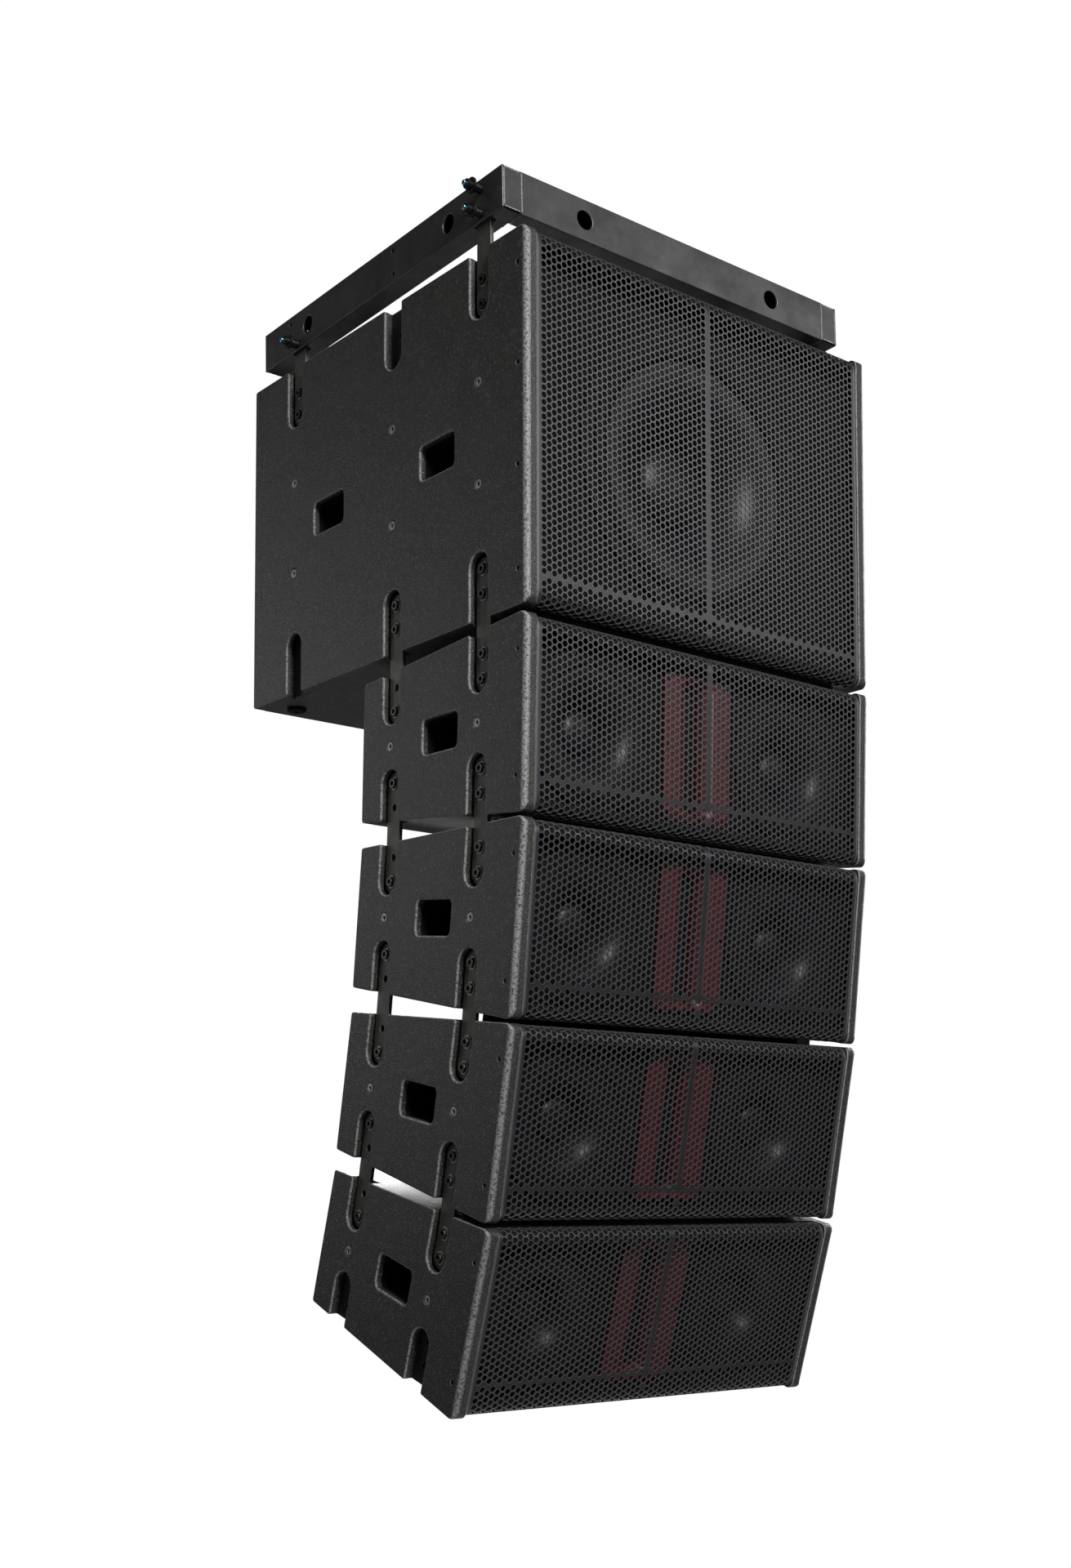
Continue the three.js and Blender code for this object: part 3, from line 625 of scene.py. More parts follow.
def grille_sheet(shape, cabinet):
    """One perforated sheet: hexagonal cells on a regular lattice, each with a hexagonal hole."""
    at, half_length, flat = grille_fold(cabinet)
    half_width = GRILLE["half_width"]
    row = HEX_SIDE * math.sqrt(3) / 2  # half the height of a cell
    strip = -2 * round((flat + GRILLE["bend"] - STRIP_DROP) / (2 * row))
    share = HOLE_SIDE / HEX_SIDE
    hole_corner = [(2, 0), (1, 1), (-1, 1), (-2, 0), (-1, -1), (1, -1)]

    def along(v):
        """Height along the sheet of lattice row v, the rows below the plain strip moved up to it."""
        if v >= strip + 1:
            return v * row
        if v <= strip:
            return (v + STRIP_SQUEEZE) * row
        return (strip + STRIP_SQUEEZE + (v - strip) * (1 - STRIP_SQUEEZE)) * row

    keys, points, wear_and_highlight = {}, [], []

    def corner(u, v):
        """The shared corner of cells at lattice place (u, v), kept inside the sheet's edges."""
        x = max(-half_width, min(half_width, u * HEX_SIDE / 2))
        s = max(-half_length, min(half_length, along(v)))
        key = (round(x, 3), round(s, 3))
        if key not in keys:
            keys[key] = len(points)
            points.append(key)
            # the sheet's side edges and the holes' rims get 1, which the grille coat paints lighter as a
            # painted highlight
            wear_and_highlight.append(1.0 if abs(x) >= half_width else 0.0)
        return keys[key]

    def has_hole(i, v):
        if abs(i) > GRILLE_COLUMNS or v in (strip, strip + 1):
            return False
        if i == 0 and (v > strip or v == strip - 4):
            return False
        return abs(along(v)) < half_length - PLAIN_MARGIN

    faces = []
    last_column = math.ceil(half_width / (HEX_SIDE * 1.5)) + 1
    last_row = math.ceil(half_length / row) + 2
    for i in range(-last_column, last_column + 1):
        for v in range(-last_row, last_row + 1):
            if (v + i) % 2:
                continue
            cell = [corner(3 * i + du, v + dv) for du, dv in hole_corner]
            distinct = [c for k, c in enumerate(cell) if c != cell[k - 1]]
            if len(set(distinct)) < 3:
                continue
            if not has_hole(i, v):
                faces.append(tuple(distinct))
                continue
            rim = []
            for du, dv in hole_corner:
                points.append(((3 * i + du * share) * HEX_SIDE / 2, along(v) + dv * share * row))
                # a hole's rim: painted highlight in the grille coat
                wear_and_highlight.append(1.0)
                rim.append(len(points) - 1)
            for k in range(6):
                j = (k + 1) % 6
                faces.append((cell[k], cell[j], rim[j], rim[k]))
    thicken(shape, faces, points, wear_and_highlight, at)


def thicken(shape, faces, points, wear_and_highlight, at):
    """Gives a flat net of faces, with its holes, the sheet's thickness and fold."""
    faces = [face for face in faces if spread(face, points) > 1e-6]
    count = len(points)
    solid = []
    for depth in (0, GRILLE["sheet"]):
        for x, s in points:
            y, z = at(s, depth)
            solid.append((x, y, z))
    edges = {edge: True for face in faces for edge in zip(face, face[1:] + face[:1])}
    skin = [tuple(face) for face in faces]
    skin += [tuple(i + count for i in reversed(face)) for face in faces]
    skin += [(b, a, a + count, b + count) for a, b in edges if (b, a) not in edges]
    shape.add(solid, skin, 0, wear_and_highlight + wear_and_highlight)


def spread(face, points):
    """Twice the area of a flat face."""
    total = 0
    for a, b in zip(face, face[1:] + face[:1]):
        total += points[a][0] * points[b][1] - points[b][0] * points[a][1]
    return abs(total)


def bend_foam(shape, cabinet):
    """The strips of black foam that line the sheet where it bends over the top and the bottom."""
    at, half_length, flat = grille_fold(cabinet)
    steps = 12
    for up in (-1, 1):
        run = [up * (flat - 2 + (half_length - flat) * k / steps) for k in range(steps + 1)]
        skin = [at(s, FOAM[0]) for s in run] + [at(s, FOAM[1]) for s in reversed(run)]
        ends = [(skin, -GRILLE["half_width"] + 1), (skin, GRILLE["half_width"] - 1)]
        loft(shape, on_side(1), ends, paint=1)


# ---------------------------------------------------------------- drivers and horns
def arc_of(share, turn=math.pi / 2):
    """The sine and cosine of a share of a turn."""
    return math.sin(turn * share), math.cos(turn * share)


def cone_driver(shape, driver, x):
    """Cone with its dust cap, rolled surround, basket with its screws, and magnet."""
    face = RECESS - GAP
    front = face - 4
    hole_radius = driver["hole"]
    roll_out = hole_radius - 3
    roll_in = hole_radius * 0.86
    cap = hole_radius * 0.32
    rim = front + 2
    neck = face + driver["depth"] * 0.34
    centre = (x, 0)
    steps = 8
    arcs = [arc_of(k / steps) for k in range(steps + 1)]
    dome = [(cap * sine, neck - cap * DOME_RISE * cosine) for sine, cosine in arcs]
    shares = [k / (steps * 2) for k in range(1, steps * 2 + 1)]
    cone = [
        (cap + (roll_in - cap) * share, rim + (neck - rim) * (1 - share) ** CONE_CURVE)
        for share in shares
    ]
    back = [(roll_in + 0.5, front + 6), (cap + 8, neck + 4), (0, neck + 4)]
    lathe(shape, on_front, centre, [*dome, *cone, *back], 0, 64)
    middle = (roll_in + roll_out) / 2
    width = (roll_out - roll_in) / 2
    arcs = [arc_of(k / steps, math.pi) for k in range(1, steps)]
    roll = [(middle - width * cosine, rim - width * 0.8 * sine) for sine, cosine in arcs]
    surround = [
        (roll_in - 3, front + 3.5), (roll_in, front + 1.6), *roll,
        (roll_out, front + 1.6), (roll_out, front + 5), (roll_in - 3, front + 5),
    ]
    lathe(shape, on_front, centre, surround, 1, 64, ring=True)
    basket(shape, driver, centre, roll_out)


def basket(shape, driver, centre, roll_out):
    """The driver's ring, with eight screws, its basket and its magnet."""
    face = RECESS - GAP
    front = face - 4
    ring, hole_radius, depth = driver["ring"], driver["hole"], driver["depth"]
    wide = hole_radius - 3
    narrow = wide * 0.92
    magnet = hole_radius * 0.55
    end = face + depth
    bend = face + depth * 0.3
    top = face + depth * 0.62
    profile = [
        (roll_out - 1, front + 1), (roll_out, front), (ring - 1, front), (ring, front + 1),
        (ring, face), (wide, face), (narrow, bend), (magnet, top), (magnet, end), (0, end),
        (0, end - 4), (magnet - 6, end - 4), (magnet - 6, top), (narrow - 5, bend),
        (roll_out - 1, face + 2),
    ]
    lathe(shape, on_front, centre, profile, 2, 64, ring=True)
    screws = circle(*centre, (ring + hole_radius) / 2, 16)
    for u, v in screws[1::2]:
        cap_screw(shape, u, v, front, DRIVER_SCREW)


def boxes(shape, rows, paint):
    """A skin through rounded boxes in (x, z), one behind the other."""
    loops = []
    for half_u, half_v, radius, y, _ in rows:
        box = outline(rectangle(0, 0, half_u, half_v, radius), 6)
        loops.append(([(u, v) for u, v, _ in box], y))
    loft(shape, on_front, loops, paint, wear_and_highlight=[row[-1] for row in rows])


def horn(shape):
    """The flange, the flare that narrows to a slot, and the body behind, as one skin. A black plug in the
    slot paints the throat's shade.
    """
    face = RECESS - GAP
    front = face - 5
    w, h = HORN["half_width"], HORN["half_height"]
    mouth, slot, throat = HORN["mouth"], HORN["slot"], HORN["throat"]
    skin = [
        # half width, half height, corner radius, y, wear and highlight value
        (5, 70, 4, throat, 0),
        (slot - 3, 76, 5, front + 40, 0),
        (slot, 81, 6, front + 18, 0),
        (slot + 5, 84, 8, front + 12, 0),
        (mouth - 6, 88, 10, front + 4, 0),
        (mouth - 1, 90, 11, front + 0.8, 0.6),
        (mouth + 2, 92, 12, front, 0.2),
        (w - 1.5, h - 1.5, 8, front, 0),
        (w - 0.4, h - 0.4, 9, front + 0.5, 1),
        (w, h, 9.5, front + 1.6, 0.3),
        (w, h, 9.5, face, 0),
        (46, 92, 10, face + 0.5, 0),
        (20, 78, 8, throat + 4, 0),
    ]
    boxes(shape, skin, paint=0)
    # a black plug inside the slot, in the basket look: painted shade in the horn's throat
    dark = [(slot - 0.4, 80.5, 6, front + 19, 0), (slot - 3.4, 75.5, 5, front + 39, 0)]
    boxes(shape, dark, paint=2)
    for u in (8 - w, w - 8):
        for v in (10 - h, 0, h - 10):
            cap_screw(shape, u, v, front, HORN_SCREW)
    start = throat + 4
    magnet = [
        (0, start - 1), (38, start - 1), (40, start + 2), (40, start + 26),
        (34, start + 30), (34, start + 52), (32, start + 54), (0, start + 54),
    ]
    lathe(shape, on_front, (0, 0), magnet, 2, 40)


# ---------------------------------------------------------------- amplifier panels
def socket(shape, u, v, face, radius):
    """A round connector: flange, collar and a dark bore with three contacts."""
    flange = outline(rectangle(u, v, radius + 4, radius + 4, 3, 0.5), 3)
    plate(shape, on_front, face - 1, face + 1.6, flange, [hole(u, v, radius, 24, 0.5)], paint=1)
    profile = [
        (radius + 0.4, face), (radius + 0.4, face + 3.5), (radius - 1, face + 4),
        (radius - 2.2, face + 3), (radius - 2.2, face + 0.4),
    ]
    lathe(shape, on_front, (u, v), profile, 2, 28)
    for k in range(3):
        a = math.pi / 2 + 2 * math.pi * k / 3
        pin = (u + radius * 0.4 * math.cos(a), v + radius * 0.4 * math.sin(a))
        lathe(shape, on_front, pin, [(1.3, face), (1.3, face + 2.4), (0.8, face + 2.8)], 1, 10)


def amp_panel(shape, panel, back, face):
    """An amplifier's panel from y = back to y = face, with what is on it."""
    sheet = rectangle(0, 0, panel.half_width, panel.half_height, panel.corner, 0.8)
    plate(shape, on_front, back, face, outline(sheet, 4))
    start, count, half, height = panel.fins
    for i in range(count):
        x = start + i * FIN["pitch"]
        block(shape, on_front, (x, x + FIN["thickness"]), (-half, half), (face - 1, face + height), 0.8)
    columns, large_row, small_row = panel.sockets
    for x in columns:
        socket(shape, x, large_row, face, 12)
        socket(shape, x, small_row, face, 11)
    block(shape, on_front, *panel.display, (face - 0.5, face + 1.2), 0.6, paint=2)
    for x in panel.knobs:
        profile = [(7, face - 0.5), (7, face + 2), (6, face + 8), (5, face + 8.6), (0, face + 8.6)]
        lathe(shape, on_front, (x, KNOB_ROW), profile, 2, 24)
    columns, rows, radius = panel.screws
    for x in columns:
        for z in rows:
            countersunk_screw(shape, on_front, x, z, face + 1.2, radius, paint=1)


def amp_box(shape, panel, back):
    """The electronics' box behind an element's panel."""
    x = panel.half_width - AMP_BOX["margin"]
    z = panel.half_height - AMP_BOX["margin"]
    block(shape, on_front, (-x, x), (-z, z), (back - AMP_BOX["depth"], back + 0.5), 1)


# ---------------------------------------------------------------- link bars
def hex_pin(shape, place, y, z, face):
    """A bolt with a washer under its hexagonal head, standing out from a bar's face."""
    rim = PIN_HEAD - 0.5
    washer = [(PIN_HEAD, face - 0.2), (PIN_HEAD, face + 0.9), (rim, face + 1.3), (4, face + 1.3)]
    lathe(shape, place, (y, z), washer, 1, 24, wear_and_highlight=[0, 1, 1, 0])
    loops = [
        (hexagon(y, z, 7.4), face + 1),
        (hexagon(y, z, 7.4), face + 3.6),
        (circle(y, z, 6.1), face + 4.4),
        (circle(y, z, 3.6), face + 4.5),
        (hexagon(y, z, 3.2), face + 4.2),
        (hexagon(y, z, 3.0), face + 1.8),
    ]
    loft(shape, place, loops, 2, wear_and_highlight=[0, 0.3, 1, 0.2, 0, 0])


def bar_outline(path, rounding):
    """The outline of a flat bar with round ends along a path of (y, z) points."""
    half = BAR["half"]
    points = [Vector(p) for p in path]
    ways = [(b - a).normalized() for a, b in zip(points, points[1:])]
    left, right = [], []
    for i, point in enumerate(points):
        before = ways[max(i - 1, 0)]
        after = ways[min(i, len(ways) - 1)]
        way = (before + after).normalized()
        beside = Vector((-way.y, way.x)) * half / max(0.5, way.dot(before))
        reach = -half if i == 0 else half if i == len(points) - 1 else 0
        end = point + way * reach
        fillet = half - 0.05 if reach else 12
        left.append(Corner(*(end + beside), fillet, rounding, rounding))
        right.append(Corner(*(end - beside), fillet, rounding, rounding))
    return outline(left + right[::-1], 6)


def link_bar(shape, sign, path, pins, holes):
    place = on_side(sign)
    face = HALF_WIDTH - BAR["face"]
    cuts = [hole(y, z, 5, 20, 0.5) for y, z in holes]
    plate(shape, place, face - BAR["thickness"], face, bar_outline(path, 0.7), cuts, both=True)
    for y, z in pins:
        hex_pin(shape, place, y, z, face)


# ---------------------------------------------------------------- fly frame
def rail_holes(pin_places):
    """The holes through a side rail, as outlines in (y, z)."""
    z = -FRAME["height"] / 2
    ends = (-SHACKLE["rail_y"], SHACKLE["rail_y"])
    holes = [hole(y, z, SHACKLE["radius"], 32, SHACKLE_EDGE) for y in ends]
    holes += [hole(*place, SMALL_RAIL_HOLES["radius"], 16, 0.4) for place in SMALL_RAIL_HOLES["places"]]
    holes += [hole(*place, PIN_HOLE["radius"], 20, PIN_HOLE["edge"]) for place in pin_places]
    return holes


def bead(shape, start, end, side, seed):
    """A lumpy weld bead between two points, bulging to one side."""
    rng = random.Random(seed)
    a, b = Vector(start), Vector(end)
    out = Vector(side).normalized()
    across = (b - a).normalized().cross(out).normalized()

    def along(u, v, w):
        return tuple(a + (b - a) * w + across * u + out * v * 0.6)

    steps = max(4, round((b - a).length / WELD_STEP))
    loops = []
    for k in range(steps + 1):
        swell = WELD_RADIUS * (0.8 + 0.35 * (k % 2) + rng.uniform(-0.15, 0.15))
        if k in (0, steps):
            swell *= 0.4
        loops.append((circle(0, 0, swell, WELD_SIDES), k / steps))
    loft(shape, along, loops, 1)


def tube_walls(shape, place, outer, faces, holes):
    """A tube's two upright walls, each just inside one of its faces. Gives the space between them."""
    wall = FRAME["wall"]
    out, inn = faces
    side = 1 if out > inn else -1
    plate(shape, place, out - side * wall, out, outer, holes)
    plate(shape, place, inn + side * wall, inn, outer, holes)
    return sorted((inn + side * (wall - 0.02), out - side * (wall - 0.02)))


def side_rail(shape, sign, bar_openings, pin_places):
    """A square tube along Y: walls with holes, a top, a bottom with the bars' openings, end caps."""
    x, y, wall, height = FRAME["x"], FRAME["y"], FRAME["wall"], FRAME["height"]
    place = on_side(sign)
    outer = outline(rectangle(0, -height / 2, y, height / 2, FRAME_EDGE + 0.5, FRAME_EDGE), 4)
    inside = tube_walls(shape, place, outer, (x, x - FRAME["tube"]), rail_holes(pin_places))
    block(shape, place, (-y + wall, y - wall), (-wall, -0.05), inside, FLUSH)
    middle = sum(inside) / 2
    half = (inside[1] - inside[0]) / 2
    under = outline(rectangle(sign * middle, 0, half, y - wall, 0, FLUSH), 2)
    bar_middle = sign * (HALF_WIDTH - BAR["face"] - BAR["thickness"] / 2)
    slots = [outline(rectangle(bar_middle, at, 5.5, BAR["half"] + 3, 2, 0.5), 3) for at in bar_openings]
    plate(shape, level, -height + wall, -height + 0.05, under, slots)
    for end in (-1, 1):
        caps = sorted((end * y, end * (y - wall)))
        block(shape, place, caps, (-height + wall / 2, -wall / 2), inside, FLUSH)


def cross_tube(shape, end):
    """A square tube along X between the rails, at the front (-1) or the rear (1)."""
    x = FRAME["x"] - FRAME["tube"]
    y, wall, height = end * FRAME["y"], FRAME["wall"], FRAME["height"]
    outer = outline(rectangle(0, -height / 2, x, height / 2, 0, FRAME_EDGE))
    places = (-SHACKLE["tube_x"], SHACKLE["tube_x"])
    holes = [hole(u, -height / 2, SHACKLE["radius"], 32, SHACKLE_EDGE) for u in places]
    inside = tube_walls(shape, on_front, outer, (y, y - end * FRAME["tube"]), holes)
    block(shape, level, (-x, x), inside, (-wall, -0.05), FLUSH)
    block(shape, level, (-x, x), inside, (-height + 0.05, -height + wall), FLUSH)


def welds(shape):
    """Bright weld beads where the tubes meet and round the rails' end caps."""
    x, y, t, height = FRAME["x"], FRAME["y"], FRAME["tube"], FRAME["height"]
    seed = 0
    for sx in (-1, 1):
        for sy in (-1, 1):
            seam = sx * (x - t)
            face = sy * y
            out = (0, sy, 0)
            lines = [
                ((seam, face, -2), (seam, face, -height + 2), out),
                ((seam, face - sy * 2, 0), (seam, face - sy * (t - 1), 0), (0, 0, 1)),
                ((seam, face - sy * 2, -height), (seam, face - sy * (t - 1), -height), (0, 0, -1)),
                ((seam, face - sy * t, -2), (seam, face - sy * t, -height + 2), (-sx, -sy, 0)),
                ((sx * (x - 3), face, -4), (sx * (x - 3), face, -height + 4), out),
                ((seam + sx * 3, face, -2.5), (sx * (x - 4), face, -2.5), out),
                ((seam + sx * 3, face, -height + 2.5), (sx * (x - 4), face, -height + 2.5), out),
            ]
            for start, end, side in lines:
                seed += 1
                bead(shape, start, end, side, seed)


def quick_pin(shape, sign, y, z):
    """A ball-lock pin: shaft, collar, disc and a bored end for its button."""
    place = on_side(sign)
    face = FRAME["x"]
    p = QUICK_PIN
    profile = [
        (4.6, face - FRAME["tube"] - 6), (4.6, face + GAP), (p["collar"] - 0.5, face + GAP),
        (p["collar"], face + GAP + 0.6), (p["collar"], face + p["collar_end"] - 1.5),
        (p["collar"] - 1, face + p["collar_end"]), (p["disc"] - 1, face + p["collar_end"] + 0.3),
        (p["disc"], face + p["collar_end"] + 1.2), (p["disc"], face + p["disc_end"] - 1),
        (p["disc"] - 1, face + p["disc_end"]), (p["collar"], face + p["disc_end"]),
        (p["collar"], face + p["body"] - 1), (p["collar"] - 1, face + p["body"]),
        (4.4, face + p["body"]), (4.3, face + p["body"] - 7),
    ]
    loops_wear_and_highlight = [0, 0, 0, 0.5, 0, 0.5, 0.5, 1, 1, 0.5, 0, 1, 1, 0, 0]
    lathe(shape, place, (y, z), profile, 0, 32, wear_and_highlight=loops_wear_and_highlight)


def pin_button(shape, sign, y, z):
    place = on_side(sign)
    tail = FRAME["x"] + QUICK_PIN["tail"]
    profile = [(3.4, tail - 6.9), (3.5, tail - 1.2), (3.1, tail - 0.4), (2.0, tail), (0.6, tail)]
    lathe(shape, place, (y, z), profile, 0, 28)


# ---------------------------------------------------------------- materials
COAT_ROUGHNESS = 0.33

# colour in the low and high spots and on rubbed edges, roughness, metallic
PAINTED_STEEL = {
    "frame": ("frame_paint", (0.038, 0.038, 0.039), (0.07, 0.07, 0.072), (0.12, 0.12, 0.123), 0.38, 0.6),
    "bar": ("bar_paint", (0.05, 0.05, 0.043), (0.078, 0.078, 0.068), (0.25, 0.25, 0.23), 0.45, 0.3),
    "channel": ("channel_paint", (0.01, 0.01, 0.01), (0.018, 0.018, 0.017), (0.1, 0.1, 0.1), 0.5, 0.3),
    "aluminium": ("black_aluminium", (0.03, 0.03, 0.033), (0.05, 0.05, 0.053), (0.4, 0.4, 0.42), 0.4, 0.6),
}
# dark and light colour, roughness, metallic
BARE_STEEL = {
    "weld": ("weld_metal", (0.07, 0.07, 0.072), (0.32, 0.32, 0.33), 0.35, 0.6),
    "zinc": ("zinc", (0.2, 0.2, 0.185), (0.32, 0.32, 0.3), 0.4, 0.5),
    "black_steel": ("black_steel", (0.035, 0.035, 0.034), (0.07, 0.07, 0.068), 0.35),
    # the button's blue is a painted reflection of sky light on bright metal
    "button": ("blue_reflection_metal", (0.1, 0.32, 0.5), (0.25, 0.55, 0.75), 0.25),
}
# dark and light colour, roughness, grain and bump in millimetres, specular level, coat
DULL = {
    # cone, rubber and basket: real black, darkened further with low specular levels as painted shade
    # behind the grille
    "cone": ("cone_pulp", (0.003, 0.003, 0.0035), (0.007, 0.007, 0.008), 0.55, 4, 0.3, 0.08, 0.3),
    "rubber": ("rubber", (0.003, 0.003, 0.003), (0.007, 0.007, 0.007), 0.7, 2, 0.05, 0.12),
    "basket": ("basket_paint", (0.003, 0.003, 0.003), (0.007, 0.007, 0.007), 0.6, 3, 0.08, 0.12),
    "foam": ("foam", (0.003, 0.003, 0.003), (0.009, 0.009, 0.009), 0.95, 1.2, 0.3, 0.1),
    "red": ("red_plastic", (0.054, 0.0045, 0.007), (0.077, 0.007, 0.011), 0.4, 4, 0.06),
    "plastic": ("black_plastic", (0.015, 0.015, 0.015), (0.03, 0.03, 0.03), 0.45, 2, 0.05),
}


def linked(tree, target, source):
    tree.links.new(source, target)


def new_material(name):
    material = bpy.data.materials.new(name)
    material.use_nodes = True
    tree = material.node_tree
    shader = tree.nodes["Principled BSDF"]
    place = tree.nodes.new("ShaderNodeTexCoord").outputs["Object"]
    return material, tree, shader, place


def add_node(tree, kind, **inputs):
    """A node whose inputs are set, or linked if they come from another node."""
    node = tree.nodes.new("ShaderNode" + kind)
    for name, value in inputs.items():
        target = node.inputs[name.replace("_", " ")]
        if isinstance(value, bpy.types.NodeSocket):
            linked(tree, target, value)
        else:
            target.default_value = value
    return node


def noise(tree, place, size, detail=3.0, roughness=0.6):
    """Noise whose grain is size millimetres across."""
    scale = 1 / (size * MM)
    node = add_node(tree, "TexNoise", Scale=scale, Detail=detail, Roughness=roughness, Vector=place)
    return node.outputs["Fac"]


def cells(tree, place, size):
    """Distance from the nearest of a scatter of points size millimetres apart."""
    return add_node(tree, "TexVoronoi", Scale=1 / (size * MM), Vector=place).outputs["Distance"]


def ranged(tree, value, low, high, to_low=0.0, to_high=1.0):
    """A value brought from one range to another, and kept inside it."""
    ends = {"From_Min": low, "From_Max": high, "To_Min": to_low, "To_Max": to_high}
    return add_node(tree, "MapRange", Value=value, **ends).outputs["Result"]


def joined(tree, operation, a, b):
    """Two values added or multiplied."""
    node = tree.nodes.new("ShaderNodeMath")
    node.operation = operation
    linked(tree, node.inputs[0], a)
    linked(tree, node.inputs[1], b)
    return node.outputs["Value"]


def blended(tree, share, first, second):
    """A colour between two, which are colours or sockets."""
    node = tree.nodes.new("ShaderNodeMix")
    node.data_type = "RGBA"
    linked(tree, node.inputs["Factor"], share)
    sockets = [socket_in for socket_in in node.inputs if socket_in.type == "RGBA"]
    for target, value in zip(sockets, (first, second)):
        if isinstance(value, tuple):
            target.default_value = (*value, 1)
        else:
            linked(tree, target, value)
    return next(out for out in node.outputs if out.type == "RGBA")


def wear_and_highlight_of(tree):
    """The wear and highlight value that the mesh carries: 1 along an edge that a look paints lighter, for
    wear and as a painted highlight.
    """
    node = tree.nodes.new("ShaderNodeAttribute")
    node.attribute_name = "wear_and_highlight"
    return node.outputs["Fac"]


def worn_and_highlit_edges(tree, place, size):
    """Where an edge is painted lighter, for wear and as a painted highlight, broken up by noise."""
    patchy = ranged(tree, noise(tree, place, size, 4), 0.36, 0.52)
    return joined(tree, "MULTIPLY", wear_and_highlight_of(tree), patchy)


def coloured(tree, shader, colour, grain, roughness):
    """Sets the colour, and the roughness from the grain's low spots to its high ones."""
    linked(tree, shader.inputs["Base Color"], colour)
    linked(tree, shader.inputs["Roughness"], ranged(tree, grain, 0.3, 0.7, *roughness))


def bumped(tree, shader, height, distance, strength=1.0):
    """Bump of a depth in millimetres."""
    node = add_node(tree, "Bump", Distance=distance * MM, Strength=strength, Height=height)
    linked(tree, shader.inputs["Normal"], node.outputs["Normal"])


def cabinet_paint():
    """Sprayed structure paint: near black, with a grain of 1 to 3 mm, lighter specks, and lighter edges
    that are partly rubbed paint and partly a painted highlight.
    """
    material, tree, shader, place = new_material("cabinet_paint")
    grain = noise(tree, place, 1.1, 2.0)
    cloud = ranged(tree, noise(tree, place, 60, 3.0), 0.3, 0.7)
    base = blended(tree, cloud, (0.018, 0.0185, 0.017), (0.025, 0.0255, 0.0235))
    # lighter specks scattered over the paint
    lighter_specks = ranged(tree, noise(tree, place, 2.6, 1.0), 0.55, 0.75, 0.0, 0.8)
    speck = blended(tree, lighter_specks, base, (0.11, 0.112, 0.108))
    # lighter edges: partly rubbed paint, partly a painted highlight along the roundings
    worn_and_highlit = blended(tree, worn_and_highlit_edges(tree, place, 3), speck, (0.22, 0.22, 0.224))
    coloured(tree, shader, worn_and_highlit, grain, (0.5, 0.3))
    shader.inputs["Specular IOR Level"].default_value = 0.35
    bumped(tree, shader, joined(tree, "ADD", grain, cells(tree, place, 1.6)), 0.4, 0.8)
    return material


def shaded_inside_paint():
    """Near-black paint for the hand holes' cups and the baffle, much darker than the cabinet paint:
    painted shade in these recesses and behind the grille.
    """
    material, tree, shader, place = new_material("shaded_inside_paint")
    grain = noise(tree, place, 2, 2.0)
    colour = blended(tree, grain, (0.002, 0.002, 0.002), (0.006, 0.006, 0.006))
    coloured(tree, shader, colour, grain, (0.85, 0.7))
    shader.inputs["Specular IOR Level"].default_value = 0.1
    bumped(tree, shader, grain, 0.2)
    return material


def grille_coat():
    """Satin powder coat on the perforated sheet, with a painted highlight along its cut edges and the
    holes' rims.
    """
    material, tree, shader, place = new_material("grille_coat")
    grain = noise(tree, place, 0.8, 2.0)
    cloud = ranged(tree, noise(tree, place, 35, 3.0), 0.3, 0.7)
    base = blended(tree, cloud, (0.0165, 0.0165, 0.018), (0.024, 0.024, 0.0265))
    # painted highlight: the cut edges and the holes' rims are painted lighter
    rim = ranged(tree, wear_and_highlight_of(tree), 0.15, 0.85)
    coloured(tree, shader, blended(tree, rim, base, (0.09, 0.09, 0.096)), grain, (0.42, 0.28))
    shader.inputs["Metallic"].default_value = 0.35
    bumped(tree, shader, grain, 0.08)
    return material


def painted_steel(name, low, high, edge, roughness, metallic):
    """Painted steel with faint scuffs and bright rubbed edges."""
    material, tree, shader, place = new_material(name)
    cloud = noise(tree, place, 45, 5.0, 0.65)
    stretched = add_node(tree, "Mapping", Scale=(1.0, 1.0, 14.0), Vector=place).outputs["Vector"]
    scuff = ranged(tree, noise(tree, stretched, 24, 5.0), 0.66, 0.8, 0.0, 0.5)
    base = blended(tree, ranged(tree, cloud, 0.35, 0.68), low, high)
    marked = blended(tree, scuff, base, tuple(min(1.0, 2.2 * c) for c in high))
    worn_and_highlit = blended(tree, worn_and_highlit_edges(tree, place, 4), marked, edge)
    coloured(tree, shader, worn_and_highlit, cloud, (roughness + 0.04, roughness - 0.04))
    shader.inputs["Metallic"].default_value = metallic
    bumped(tree, shader, noise(tree, place, 1.2, 3.0), 0.06)
    return material


def bare_steel(name, dark, light, roughness, metallic=1.0):
    """Bright or blackened metal with a fine brushed grain."""
    material, tree, shader, place = new_material(name)
    grain = noise(tree, place, 1.6, 4.0)
    colour = blended(tree, ranged(tree, grain, 0.35, 0.65), dark, light)
    coloured(tree, shader, colour, grain, (roughness + 0.1, roughness - 0.08))
    shader.inputs["Metallic"].default_value = metallic
    bumped(tree, shader, grain, 0.08)
    return material


